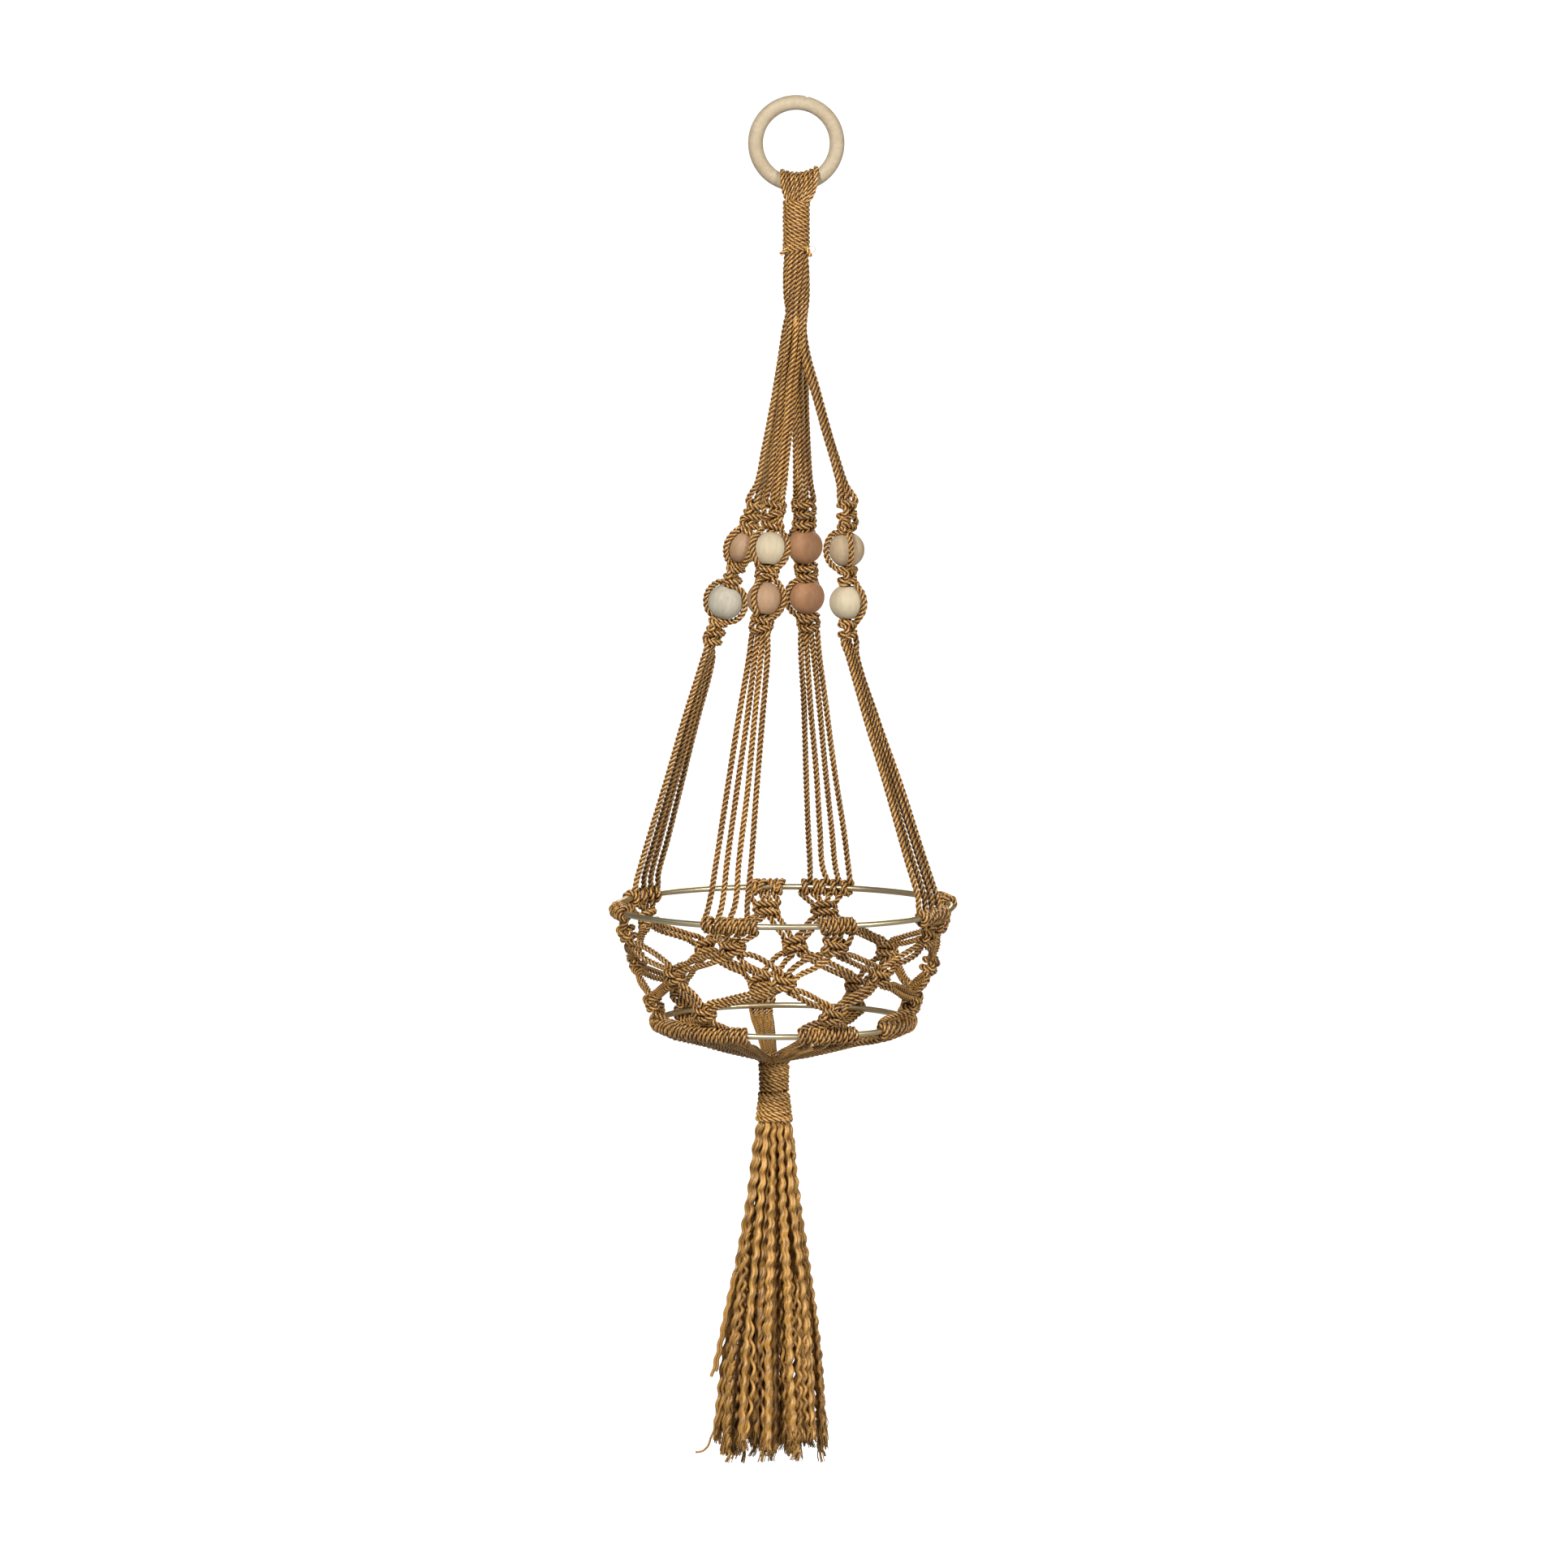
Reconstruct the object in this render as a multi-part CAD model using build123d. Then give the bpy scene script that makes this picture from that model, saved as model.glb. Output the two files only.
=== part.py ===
"""Hanging macrame planter: a wooden ring, a wrapped head, four beaded straps,
two metal hoops joined by a knotted net, and a wrapped tassel below.

Millimetres, +Z up. The origin is the hook's seat, at the inner top of the wooden ring.
The front is -Y. Directions round the planter are degrees from the front, towards +X.
"""

from build123d import *
import math
import os

# --- cord -----------------------------------------------------------------------------
cord_diameter = 4.0          # the laid cord
tube_diameter = 3.8          # its plain tube here
tube_gap = 0.2               # between a square tube's end and the knot that it enters
slant_gap = 1.3              # the same for a tube that comes in at a slant
body_gap = 0.4               # between pieces that move on each other
strand_step = 4.2            # side by side strands of one strap

# --- wooden ring ----------------------------------------------------------------------
ring_inner_radius = 24.7
ring_stock = 11.0            # thickness of the wood
ring_radius = ring_inner_radius + ring_stock / 2
ring_centre_z = -ring_inner_radius
ring_bottom_z = ring_centre_z - ring_radius

# --- head: loops over the ring and the wrap below them --------------------------------
loop_count = 8
loop_step = 3.6
loop_tube = 3.4
swing_z = ring_bottom_z + 1.0        # the line that the loops turn on
loop_leg_end_z = -63.0
wrap_top_z = -66.7
wrap_bottom_z = -105.0
wrap_radius = 10.25
wrap_bore = 7.2

# --- neck -----------------------------------------------------------------------------
neck_radius = 10.5
neck_bottom_z = -190.0
neck_flare = 15.8
neck_flare_height = 24.0
neck_pivot_z = wrap_bottom_z - body_gap - neck_radius
strap_start_radius = 13.5

# --- how far the middle of each level hangs to the side of the ring -------------------
hoop_lean = -9.7
base_lean = -16.5
tassel_lean = -18.7

# --- straps: direction, and each bead's height and distance from the middle -----------
straps = {
    "front": {"turn": -18.0, "beads": ((-322.8, 46.0), (-358.9, 57.0)), "knot": 14.0},
    "right": {"turn": 63.0, "beads": ((-325.2, 48.0), (-364.4, 49.0)), "knot": 14.0},
    "back": {"turn": 165.0, "beads": ((-329.3, 46.0), (-367.8, 54.0)), "knot": 14.0},
    "left": {"turn": 238.0, "beads": ((-326.8, 40.0), (-369.3, 55.0)), "knot": 22.0},
}
strand_offsets = [strand_step * step for step in (-1.5, -0.5, 0.5, 1.5)]
hoop_fan = 2.25              # strands spread this many times wider at the hoop
upper_knot_height = 24.0
knot_width = 20.4
knot_depth = 12.0
knot_edge = 3.0

# --- beads ----------------------------------------------------------------------------
bead_radius = 13.2
bead_bore = 4.7
bead_edge = 0.8
bead_reach = 13.3            # from a bead's middle to the knots above and below it
filler_offset = 2.0
bow_radius = bead_radius + tube_diameter / 2 + 0.5

# --- hoops ----------------------------------------------------------------------------
hoop_rod = 4.5
upper_hoop_radius = 125.0
upper_hoop_z = -594.6
lower_hoop_radius = 93.5
lower_hoop_z = -680.4
hitch_bore = 2.35            # radius round the rod
hitch_radius = 6.4
hitch_reach = hitch_radius + 0.8     # from the rod's middle to a cord's end

# hitches on the upper hoop: middle direction and width in degrees
strap_hitch_width = 20.5
net_cord_hitches = ((18.6, 13.0), (105.0, 14.0), (186.0, 12.0), (285.0, 14.0))
# rows of hitches on the lower hoop: first and last direction
front_base_rows = ((-100.0, -16.0), (7.0, 35.0), (50.0, 100.0))
back_base_rows = ((141.0, 153.0), (184.0, 195.0), (225.0, 237.0))

# --- net: directions of the knots in its three rows -----------------------------------
top_knots = (-18.0, 18.6, 63.0, 105.0, 165.0, 186.0, 238.0, 285.0)
mid_knots = (0.3, 40.8, 84.0, 135.0, 175.5, 212.0, 261.5, 313.5)
low_knots = (21.0, 75.0, 110.0, 147.0, 190.0, 231.0, 285.0, 325.0)
top_row_z = -610.5
mid_row_z = -637.0
low_row_z = -664.0
net_knot_width = 12.0
net_knot_height = 8.0
net_knot_depth = 8.0
net_edge = 2.0
net_pair = 2.1               # half the distance between the two cords of an edge
net_leave_side = 2.6         # where an edge leaves its knot, past the knot's side
net_leave_drop = 1.8         # and below it

# --- under the pot --------------------------------------------------------------------
under_groups = low_knots
under_spread = 3.6           # degrees between the cords of a group, at the hoop
gather_radius = 21.6
gather_z = -704.6
gather_bottom_z = -712.0
gather_neck = 10.5

# --- bottom wraps and tassel ----------------------------------------------------------
wrap_dome_radius = 13.0
bottom_wrap_radius = 11.5
bottom_wrap_end_z = -733.2
tilt_z = gather_bottom_z - body_gap - wrap_dome_radius
tassel_wrap_top_z = -733.6
tassel_wrap_end_z = -756.5
tassel_wrap_radii = (12.4, 14.3)
tassel_dome_radius = 17.5
tassel_swing_z = tassel_wrap_end_z - body_gap - tassel_dome_radius
tassel_cord = 4.0
tassel_rings = ((1, 0.0), (6, 4.3), (12, 8.6), (13, 12.9))
tassel_end_z = -1004.0
tassel_spread = 3.15         # how many times wider the tassel is at its end
# how far down each strand, and how much of the spread it has there
tassel_course = ((0.0, 0.0), (0.14, 0.09), (0.32, 0.32), (0.54, 0.62), (0.77, 0.86), (1.0, 1.0))
tassel_trims = (0.0, 9.0, 4.0, 14.0, 2.0, 11.0, 6.0)

middle = (Align.CENTER, Align.CENTER, Align.CENTER)
standing = (Align.CENTER, Align.CENTER, Align.MIN)


def write(name, *solids):
    """One sub-part, from one solid or a group of separate ones."""
    shape = solids[0] if len(solids) == 1 else Compound(children=list(solids))
    export_step(shape, f"parts/{name}.step")


def lean_at(z):
    """How far the middle hangs to the side at a height above the upper hoop."""
    return hoop_lean * z / upper_hoop_z


def place(turn, radius, z, lean):
    """The point at a direction, a distance from the middle, and a height."""
    angle = math.radians(turn)
    return Vector(lean + radius * math.sin(angle), -radius * math.cos(angle), z)


def across(turn):
    """The level direction along a circle round the planter, at one place on it."""
    angle = math.radians(turn)
    return Vector(math.cos(angle), math.sin(angle), 0)


def rod(start, end, diameter=tube_diameter):
    """A straight tube between two points."""
    run = end - start
    return Plane(origin=start, z_dir=run) * Cylinder(diameter / 2, run.length, align=standing)


def turned_profile(outline, lean):
    """A solid of revolution about a standing line, from (radius, z) points."""
    face = make_face(Plane.XZ * Polyline(*outline, close=True))
    return Pos(lean, 0, 0) * revolve(face, axis=Axis.Z)


def sleeve(hoop_radius, z, first, last):
    """The row of hitches round a hoop's rod, between two directions."""
    section = Plane.XZ * (Pos(hoop_radius, 0) * (Circle(hitch_radius) - Circle(hitch_bore)))
    row = revolve(section, axis=Axis.Z, revolution_arc=last - first)
    return Pos(hoop_lean, 0, z) * Rot(0, 0, first - 90) * row


def knot_block(centre, x_dir, z_dir, width, depth, height, edge):
    """A rounded block that stands for a square knot."""
    block = fillet(Box(width, depth, height, align=middle).edges(), edge)
    return Plane(origin=centre, x_dir=x_dir, z_dir=z_dir) * block


# --- wooden ring ----------------------------------------------------------------------
def make_wooden_ring():
    ring = Torus(ring_radius, ring_stock / 2)
    write("wooden_ring", Pos(0, 0, ring_centre_z) * Rot(90, 0, 0) * ring)


# --- head -----------------------------------------------------------------------------
def ring_reach(x):
    """How far from the swing line the ring's wood comes, at a distance from its middle."""
    lowest = ring_centre_z - (ring_radius + ring_stock / 2)
    inner = math.sqrt(ring_inner_radius**2 - x**2)
    return max(swing_z - lowest, ring_centre_z - inner - swing_z)


def make_ring_loops():
    loops = []
    for number in range(loop_count):
        x = (number - (loop_count - 1) / 2) * loop_step
        radius = ring_reach(abs(x) + loop_tube / 2) + body_gap + loop_tube / 2
        leg = [Vector(x, side * radius, loop_leg_end_z) for side in (-1, 1)]
        spring = [Vector(x, side * radius, swing_z) for side in (-1, 1)]
        over = ThreePointArc(spring[0], Vector(x, 0, swing_z + radius), spring[1])
        route = Wire([Line(leg[0], spring[0]).edge(), over.edge(), Line(spring[1], leg[1]).edge()])
        loops.append(sweep(Plane(origin=leg[0], z_dir=(0, 0, 1)) * Circle(loop_tube / 2), path=route))
    top = Plane.XY.offset(loop_leg_end_z - tube_gap) * Ellipse(15.0, 12.6)
    bottom = Plane.XY.offset(wrap_top_z + tube_gap) * Circle(wrap_radius - 0.5)
    gather = loft([top, bottom])
    core_height = wrap_top_z - wrap_bottom_z
    core = Pos(0, 0, wrap_bottom_z) * Cylinder(wrap_bore - tube_gap, core_height, align=standing)
    write("ring_loops", *loops, gather, core)


def make_top_wrap():
    height = wrap_top_z - wrap_bottom_z
    wrap = Cylinder(wrap_radius, height, align=standing) - Cylinder(wrap_bore, height, align=standing)
    write("top_wrap", Pos(0, 0, wrap_bottom_z) * wrap)


# --- neck -----------------------------------------------------------------------------
def make_neck_cords():
    shoulder_z = neck_bottom_z + neck_flare_height
    dome = CenterArc((0, neck_pivot_z), neck_radius, 0, 90)
    down = Polyline((neck_radius, neck_pivot_z), (neck_radius, shoulder_z), (neck_flare, neck_bottom_z))
    back = Polyline((neck_flare, neck_bottom_z), (0, neck_bottom_z), (0, neck_pivot_z + neck_radius))
    outline = make_face(Plane.XZ * Wire([*dome.edges(), *down.edges(), *back.edges()]))
    write("neck_cords", revolve(outline, axis=Axis.Z))


# --- straps ---------------------------------------------------------------------------
def strap_frame(strap):
    """A strap's bead places, its line up through them, and the direction across it."""
    (upper_z, upper_radius), (lower_z, lower_radius) = strap["beads"]
    upper = place(strap["turn"], upper_radius, upper_z, lean_at(upper_z))
    lower = place(strap["turn"], lower_radius, lower_z, lean_at(lower_z))
    line = (upper - lower).normalized()
    level = across(strap["turn"])
    side = (level - line * level.dot(line)).normalized()
    return upper, lower, line, side


def make_bead(name, centre, line):
    half = math.sqrt(bead_radius**2 - bead_bore**2)
    side = ThreePointArc((bead_bore, -half), (bead_radius, 0), (bead_bore, half))
    bore = Line((bead_bore, half), (bead_bore, -half))
    bead = revolve(make_face(Plane.XZ * Wire([side.edge(), bore.edge()])), axis=Axis.Z)
    bead = fillet(bead.edges().filter_by(GeomType.CIRCLE), bead_edge)
    write(name, Plane(origin=centre, z_dir=line) * bead)


def bead_tubes(centre, line, side):
    """The two cords through a bead and the two that bow round it."""
    reach = bead_reach - tube_gap
    tubes = []
    for sign in (-1, 1):
        offset = side * (sign * filler_offset)
        tubes.append(rod(centre + offset - line * reach, centre + offset + line * reach))
    half_angle = math.degrees(math.asin(reach / (bow_radius + tube_diameter / 2)))
    for x_dir in (side, -side):
        arc = CenterArc((0, 0), bow_radius, -half_angle, 2 * half_angle)
        start = arc @ 0
        section = Plane(origin=start, z_dir=arc % 0) * Circle(tube_diameter / 2)
        bow = sweep(section, path=arc)
        tubes.append(Plane(origin=centre, x_dir=x_dir, z_dir=x_dir.cross(line)) * bow)
    return tubes


def make_strap(name, strap):
    upper, lower, line, side = strap_frame(strap)
    knot_size = (knot_width, knot_depth)
    top_of_beads = upper + line * bead_reach
    end_of_beads = lower - line * bead_reach
    knot_top = top_of_beads + line * upper_knot_height
    knot_end = end_of_beads - line * strap["knot"]

    start = place(strap["turn"], strap_start_radius, neck_bottom_z - slant_gap, 0)
    stop = knot_top + line * slant_gap
    offsets = [side * distance for distance in strand_offsets]
    write(f"upper_cords_{name}", *[rod(start + offset, stop + offset) for offset in offsets])

    centre = top_of_beads + line * (upper_knot_height / 2)
    write(f"upper_knot_{name}", knot_block(centre, side, line, *knot_size, upper_knot_height, knot_edge))
    make_bead(f"upper_bead_{name}", upper, line)
    make_bead(f"lower_bead_{name}", lower, line)
    write(f"bead_cords_{name}", *bead_tubes(upper, line, side), *bead_tubes(lower, line, side))

    gap = (upper - lower).length - 2 * bead_reach
    centre = (upper + lower) / 2
    write(f"middle_knot_{name}", knot_block(centre, side, line, *knot_size, gap, knot_edge))
    centre = end_of_beads - line * (strap["knot"] / 2)
    write(f"lower_knot_{name}", knot_block(centre, side, line, *knot_size, strap["knot"], knot_edge))

    on_hoop = place(strap["turn"], upper_hoop_radius, upper_hoop_z, hoop_lean)
    tubes = []
    for offset in offsets:
        start = knot_end - line * slant_gap + offset
        seat = on_hoop + offset * hoop_fan
        stop = seat + (start - seat).normalized() * hitch_reach
        tubes.append(rod(stop, start))
    write(f"strap_cords_{name}", *tubes)

    half = strap_hitch_width / 2
    hitches = sleeve(upper_hoop_radius, upper_hoop_z, strap["turn"] - half, strap["turn"] + half)
    write(f"strap_hitches_{name}", hitches)


# --- hoops and the hitches on them ----------------------------------------------------
def make_hoop(name, radius, z):
    write(name, Pos(hoop_lean, 0, z) * Torus(radius, hoop_rod / 2))


def make_hitch_rows():
    rows = [(turn - width / 2, turn + width / 2) for turn, width in net_cord_hitches]
    write("net_cord_hitches", *[sleeve(upper_hoop_radius, upper_hoop_z, *row) for row in rows])
    write("base_hitches_front", *[sleeve(lower_hoop_radius, lower_hoop_z, *row) for row in front_base_rows])
    write("base_hitches_back", *[sleeve(lower_hoop_radius, lower_hoop_z, *row) for row in back_base_rows])


# --- net ------------------------------------------------------------------------------
def net_radius(z):
    share = (upper_hoop_z - z) / (upper_hoop_z - lower_hoop_z)
    return upper_hoop_radius + share * (lower_hoop_radius - upper_hoop_radius)


def net_knot(turn, z):
    centre = place(turn, net_radius(z), z, hoop_lean)
    return knot_block(centre, across(turn), (0, 0, 1), net_knot_width, net_knot_depth, net_knot_height, net_edge)


def net_edge_pair(from_turn, from_z, to_turn, to_z):
    """The two cords that run from one knot to the next one below it."""
    turned = (to_turn - from_turn + 180) % 360 - 180
    sideways = math.copysign(net_knot_width / 2 + net_leave_side, turned)
    drop = net_knot_height / 2 + net_leave_drop
    start = place(from_turn, net_radius(from_z), from_z - drop, hoop_lean)
    start += across(from_turn) * sideways
    end = place(to_turn, net_radius(to_z), to_z + drop, hoop_lean)
    end -= across(to_turn) * sideways
    out = place(from_turn + turned / 2, 1, 0, 0)
    apart = (end - start).cross(out).normalized() * net_pair
    return [rod(start - apart, end - apart), rod(start + apart, end + apart)]


def neighbours(turn, row):
    """The nearest knot of a row on each side of a direction."""
    ahead = min(row, key=lambda other: (other - turn) % 360)
    behind = min(row, key=lambda other: (turn - other) % 360)
    return behind, ahead


def make_net():
    quarters = {"front": (0, 1), "right": (2, 3), "back": (4, 5), "left": (6, 7)}
    for name, members in quarters.items():
        solids = []
        for number in members:
            top, mid, low = top_knots[number], mid_knots[number], low_knots[number]
            solids += [net_knot(top, top_row_z), net_knot(mid, mid_row_z), net_knot(low, low_row_z)]
            for below in neighbours(top, mid_knots):
                solids += net_edge_pair(top, top_row_z, below, mid_row_z)
            for below in neighbours(mid, low_knots):
                solids += net_edge_pair(mid, mid_row_z, below, low_row_z)
        write(f"net_{name}", *solids)


# --- under cords ----------------------------------------------------------------------
def make_under_cords():
    quarters = ("front", "right", "back", "left")
    total = 4 * len(under_groups)
    turn_gap = 360 / total
    mean = sum(group - 45 * number for number, group in enumerate(under_groups)) / len(under_groups)
    for quarter, name in enumerate(quarters):
        tubes = []
        for number in (2 * quarter, 2 * quarter + 1):
            for strand in range(4):
                turn = under_groups[number] + (strand - 1.5) * under_spread
                seat = place(turn, lower_hoop_radius, lower_hoop_z, hoop_lean)
                end_turn = mean + 45 * number + (strand - 1.5) * turn_gap
                end = place(end_turn, gather_radius + tube_diameter / 3, gather_z, base_lean)
                tubes.append(rod(seat + (end - seat).normalized() * hitch_reach, end))
        write(f"under_cords_{name}", *tubes)


def make_gathered_cords():
    rim = gather_radius - 1.0
    outline = (
        (0, gather_z - 4.5),
        (rim, gather_z + 2.2),
        (rim, gather_z - 2.2),
        (gather_neck, gather_bottom_z),
        (0, gather_bottom_z),
    )
    write("gathered_cords", turned_profile(outline, base_lean))


# --- bottom wraps ---------------------------------------------------------------------
def make_bottom_wraps():
    height = gather_bottom_z - bottom_wrap_end_z
    column = Pos(0, 0, bottom_wrap_end_z) * Cylinder(bottom_wrap_radius, height, align=standing)
    dome = Pos(0, 0, tilt_z) * Sphere(wrap_dome_radius)
    block = Pos(0, 0, tilt_z) * Cylinder(wrap_dome_radius, height, align=(Align.CENTER, Align.CENTER, Align.MAX))
    write("bottom_wrap", Pos(base_lean, 0, 0) * (column & (dome + block)))
    top, end = tassel_wrap_radii
    outline = ((0, tassel_wrap_top_z), (top, tassel_wrap_top_z), (end, tassel_wrap_end_z), (0, tassel_wrap_end_z))
    write("tassel_wrap", turned_profile(outline, base_lean))


# --- tassel ---------------------------------------------------------------------------
def tassel_strands():
    """Each strand's route: down from the wrap, spreading, and cut to a ragged end."""
    routes = []
    for ring, (count, radius) in enumerate(tassel_rings):
        for number in range(count):
            turn = 360 * number / count + 17 * ring
            clear = tassel_dome_radius**2 - (radius + tassel_cord / 2) ** 2
            top_z = tassel_swing_z + math.sqrt(clear)
            end_z = tassel_end_z + tassel_trims[len(routes) % len(tassel_trims)]
            route = []
            for down, spread in tassel_course:
                z = top_z + down * (end_z - top_z)
                reach = radius * (1 + (tassel_spread - 1) * spread)
                shift = base_lean + down * (tassel_lean - base_lean)
                route.append(place(turn, reach, z, shift))
            routes.append(route)
    return routes


def arc_radii(route):
    """The largest arcs that the runs of a route leave room for."""
    radii = []
    for before, at, after in zip(route, route[1:], route[2:]):
        turn = math.radians((at - before).get_angle(after - at))
        shorter = min((at - before).length, (after - at).length)
        radii.append(0.45 * shorter / math.tan(turn / 2))
    return radii


def make_tassel():
    tubes = []
    smallest = math.inf
    for route in tassel_strands():
        if route[0].X == route[-1].X - tassel_lean + base_lean and route[0].Y == route[-1].Y:
            tubes.append(rod(route[-1], route[0], tassel_cord))
            continue
        radii = arc_radii(route)
        smallest = min(smallest, *radii)
        path = FilletPolyline(*route, radius=radii)
        section = Plane(origin=path @ 0, z_dir=path % 0) * Circle(tassel_cord / 2)
        tube = sweep(section, path=path)
        expected = math.pi * tassel_cord**2 / 4 * path.length
        if abs(tube.volume / expected - 1) > 0.01:
            print("tassel tube volume is off:", tube.volume, expected)
        tubes.append(tube)
    print("smallest arc in the tassel:", round(smallest, 1), "mm")
    write("tassel", *tubes)


os.makedirs("parts", exist_ok=True)
make_wooden_ring()
make_ring_loops()
make_top_wrap()
make_neck_cords()
for strap_name, strap_sizes in straps.items():
    make_strap(strap_name, strap_sizes)
make_hoop("upper_hoop", upper_hoop_radius, upper_hoop_z)
make_hoop("lower_hoop", lower_hoop_radius, lower_hoop_z)
make_hitch_rows()
make_net()
make_under_cords()
make_gathered_cords()
make_bottom_wraps()
make_tassel()
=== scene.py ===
"""The looks of the hanging macrame planter: laid satin cord, tied knots, raw wood and satin brass."""

import math

import bpy
import numpy as np
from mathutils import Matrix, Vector


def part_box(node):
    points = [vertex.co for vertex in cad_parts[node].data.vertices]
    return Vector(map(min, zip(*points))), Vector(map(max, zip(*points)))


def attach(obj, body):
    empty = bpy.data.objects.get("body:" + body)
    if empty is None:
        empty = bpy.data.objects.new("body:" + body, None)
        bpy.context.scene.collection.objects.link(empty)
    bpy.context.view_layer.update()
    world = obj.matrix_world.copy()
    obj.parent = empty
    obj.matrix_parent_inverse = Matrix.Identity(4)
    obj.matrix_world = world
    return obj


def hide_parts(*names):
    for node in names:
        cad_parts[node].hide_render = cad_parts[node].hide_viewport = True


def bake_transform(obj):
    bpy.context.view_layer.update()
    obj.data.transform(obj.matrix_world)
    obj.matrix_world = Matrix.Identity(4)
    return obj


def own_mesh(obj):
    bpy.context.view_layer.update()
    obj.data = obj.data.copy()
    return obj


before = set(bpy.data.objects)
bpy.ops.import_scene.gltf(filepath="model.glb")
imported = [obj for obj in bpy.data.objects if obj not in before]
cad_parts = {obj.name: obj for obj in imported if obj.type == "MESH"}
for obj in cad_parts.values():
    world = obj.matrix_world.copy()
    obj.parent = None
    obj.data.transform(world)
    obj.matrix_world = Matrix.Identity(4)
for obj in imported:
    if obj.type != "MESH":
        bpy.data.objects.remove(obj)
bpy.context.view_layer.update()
mm = 0.001

# --- cord -----------------------------------------------------------------------------
cord_radius = 2.38 * mm
plies = 3
ply_lay = 11.8 * mm              # length in which the plies go once round
ring_gap = 0.56 * mm             # distance between the rings of a cord's mesh
points_per_turn = 14             # of a wrap
hitch_step = 36                  # degrees round the rod between a hitch's points
sides_of_ply = 6

# --- directions round the planter, in degrees from the front --------------------------
sides = ("front", "right", "back", "left")
strap_turns = {"front": -18.0, "right": 63.0, "back": 165.0, "left": 238.0}
net_cord_turns = (18.6, 105.0, 186.0, 285.0)
top_knots = (-18.0, 18.6, 63.0, 105.0, 165.0, 186.0, 238.0, 285.0)
mid_knots = (0.3, 40.8, 84.0, 135.0, 175.5, 212.0, 261.5, 313.5)
low_knots = (21.0, 75.0, 110.0, 147.0, 190.0, 231.0, 285.0, 325.0)
# rows of hitches on the lower hoop: first direction, last direction, and the net's knots that feed it
base_rows = ((-100.0, -16.0, (6, 7)), (7.0, 35.0, (0,)), (50.0, 100.0, (1, 2)),
             (141.0, 153.0, (3,)), (184.0, 195.0, (4,)), (225.0, 237.0, (5,)))

up = np.array((0.0, 0.0, 1.0))
chance = np.random.default_rng(7)


# --- places, from the frame -----------------------------------------------------------
def middle(node):
    low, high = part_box(node)
    return np.array((low + high) / 2)


def top_of(node):
    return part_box(node)[1].z


def foot_of(node):
    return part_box(node)[0].z


def reach_of(node):
    """Half a node's width from left to right."""
    low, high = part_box(node)
    return (high.x - low.x) / 2


ring_middle = middle("wooden_ring")
ring_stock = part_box("wooden_ring")[1].y
ring_radius = reach_of("wooden_ring") - ring_stock
upper_middle = middle("upper_hoop")
lower_middle = middle("lower_hoop")
hoop_rod = (top_of("upper_hoop") - foot_of("upper_hoop")) / 2
upper_radius = reach_of("upper_hoop") - hoop_rod
lower_radius = reach_of("lower_hoop") - hoop_rod


def outward(turn):
    angle = math.radians(turn)
    return np.array((math.sin(angle), -math.cos(angle), 0.0))


def across(turn):
    angle = math.radians(turn)
    return np.array((math.cos(angle), math.sin(angle), 0.0))


# --- routes ---------------------------------------------------------------------------
def eased(points, step):
    """A smooth line through the points, as points a step apart."""
    points = np.asarray(points, float)
    ends = np.vstack((2 * points[0] - points[1], points, 2 * points[-1] - points[-2]))
    share = np.linspace(0, 1, 17)[:-1, None]
    runs = []
    for before, start, stop, after in zip(ends, ends[1:], ends[2:], ends[3:]):
        length = np.linalg.norm(stop - start)
        behind = max(np.linalg.norm(start - before), 1e-9)
        ahead = max(np.linalg.norm(after - stop), 1e-9)
        leave = length * ((start - before) / behind + (stop - start) / length) / 2
        arrive = length * ((stop - start) / length + (after - stop) / ahead) / 2
        runs.append(
            start * (2 * share**3 - 3 * share**2 + 1) + leave * (share**3 - 2 * share**2 + share)
            + stop * (3 * share**2 - 2 * share**3) + arrive * (share**3 - share**2)
        )
    runs.append(points[-1:])
    return evenly(np.vstack(runs), step)


def evenly(line, step):
    """The same line, as points a step apart."""
    gaps = np.linalg.norm(np.diff(line, axis=0), axis=1)
    along = np.concatenate(([0], np.cumsum(gaps)))
    count = max(2, int(round(along[-1] / step)) + 1)
    wanted = np.linspace(0, along[-1], count)
    return np.stack([np.interp(wanted, along, line[:, axis]) for axis in range(3)], axis=1)


def carried_frames(line):
    """Directions across a line that don't twist round it."""
    tangents = np.gradient(line, axis=0)
    tangents /= np.linalg.norm(tangents, axis=1)[:, None]
    first = np.cross(tangents[0], up)
    if np.linalg.norm(first) < 0.1:
        first = np.cross(tangents[0], (1.0, 0.0, 0.0))
    normals = np.empty_like(line)
    normals[0] = first / np.linalg.norm(first)
    for number in range(len(line) - 1):
        step = line[number + 1] - line[number]
        square = max(step @ step, 1e-18)
        mirrored = normals[number] - (2 / square) * (step @ normals[number]) * step
        leaned = tangents[number] - (2 / square) * (step @ tangents[number]) * step
        turn = tangents[number + 1] - leaned
        square = max(turn @ turn, 1e-18)
        normals[number + 1] = mirrored - (2 / square) * (turn @ mirrored) * turn
    return normals, np.cross(tangents, normals)


def laid_section(count, per_ply):
    """Angle and reach of a laid cord's outline: round plies that touch each other."""
    ply = 1 / (1 + 1 / math.sin(math.pi / count))
    offset = ply / math.sin(math.pi / count)
    angles, reaches = [], []
    for number in range(count):
        for point in range(per_ply):
            angle = (point / per_ply - 0.5) * 2 * math.pi / count
            inside = max(ply**2 - (offset * math.sin(angle)) ** 2, 0)
            angles.append(angle + number * 2 * math.pi / count)
            reaches.append(max(offset * math.cos(angle) + math.sqrt(inside), 0.64))
    return np.array(angles), np.array(reaches)


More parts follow.
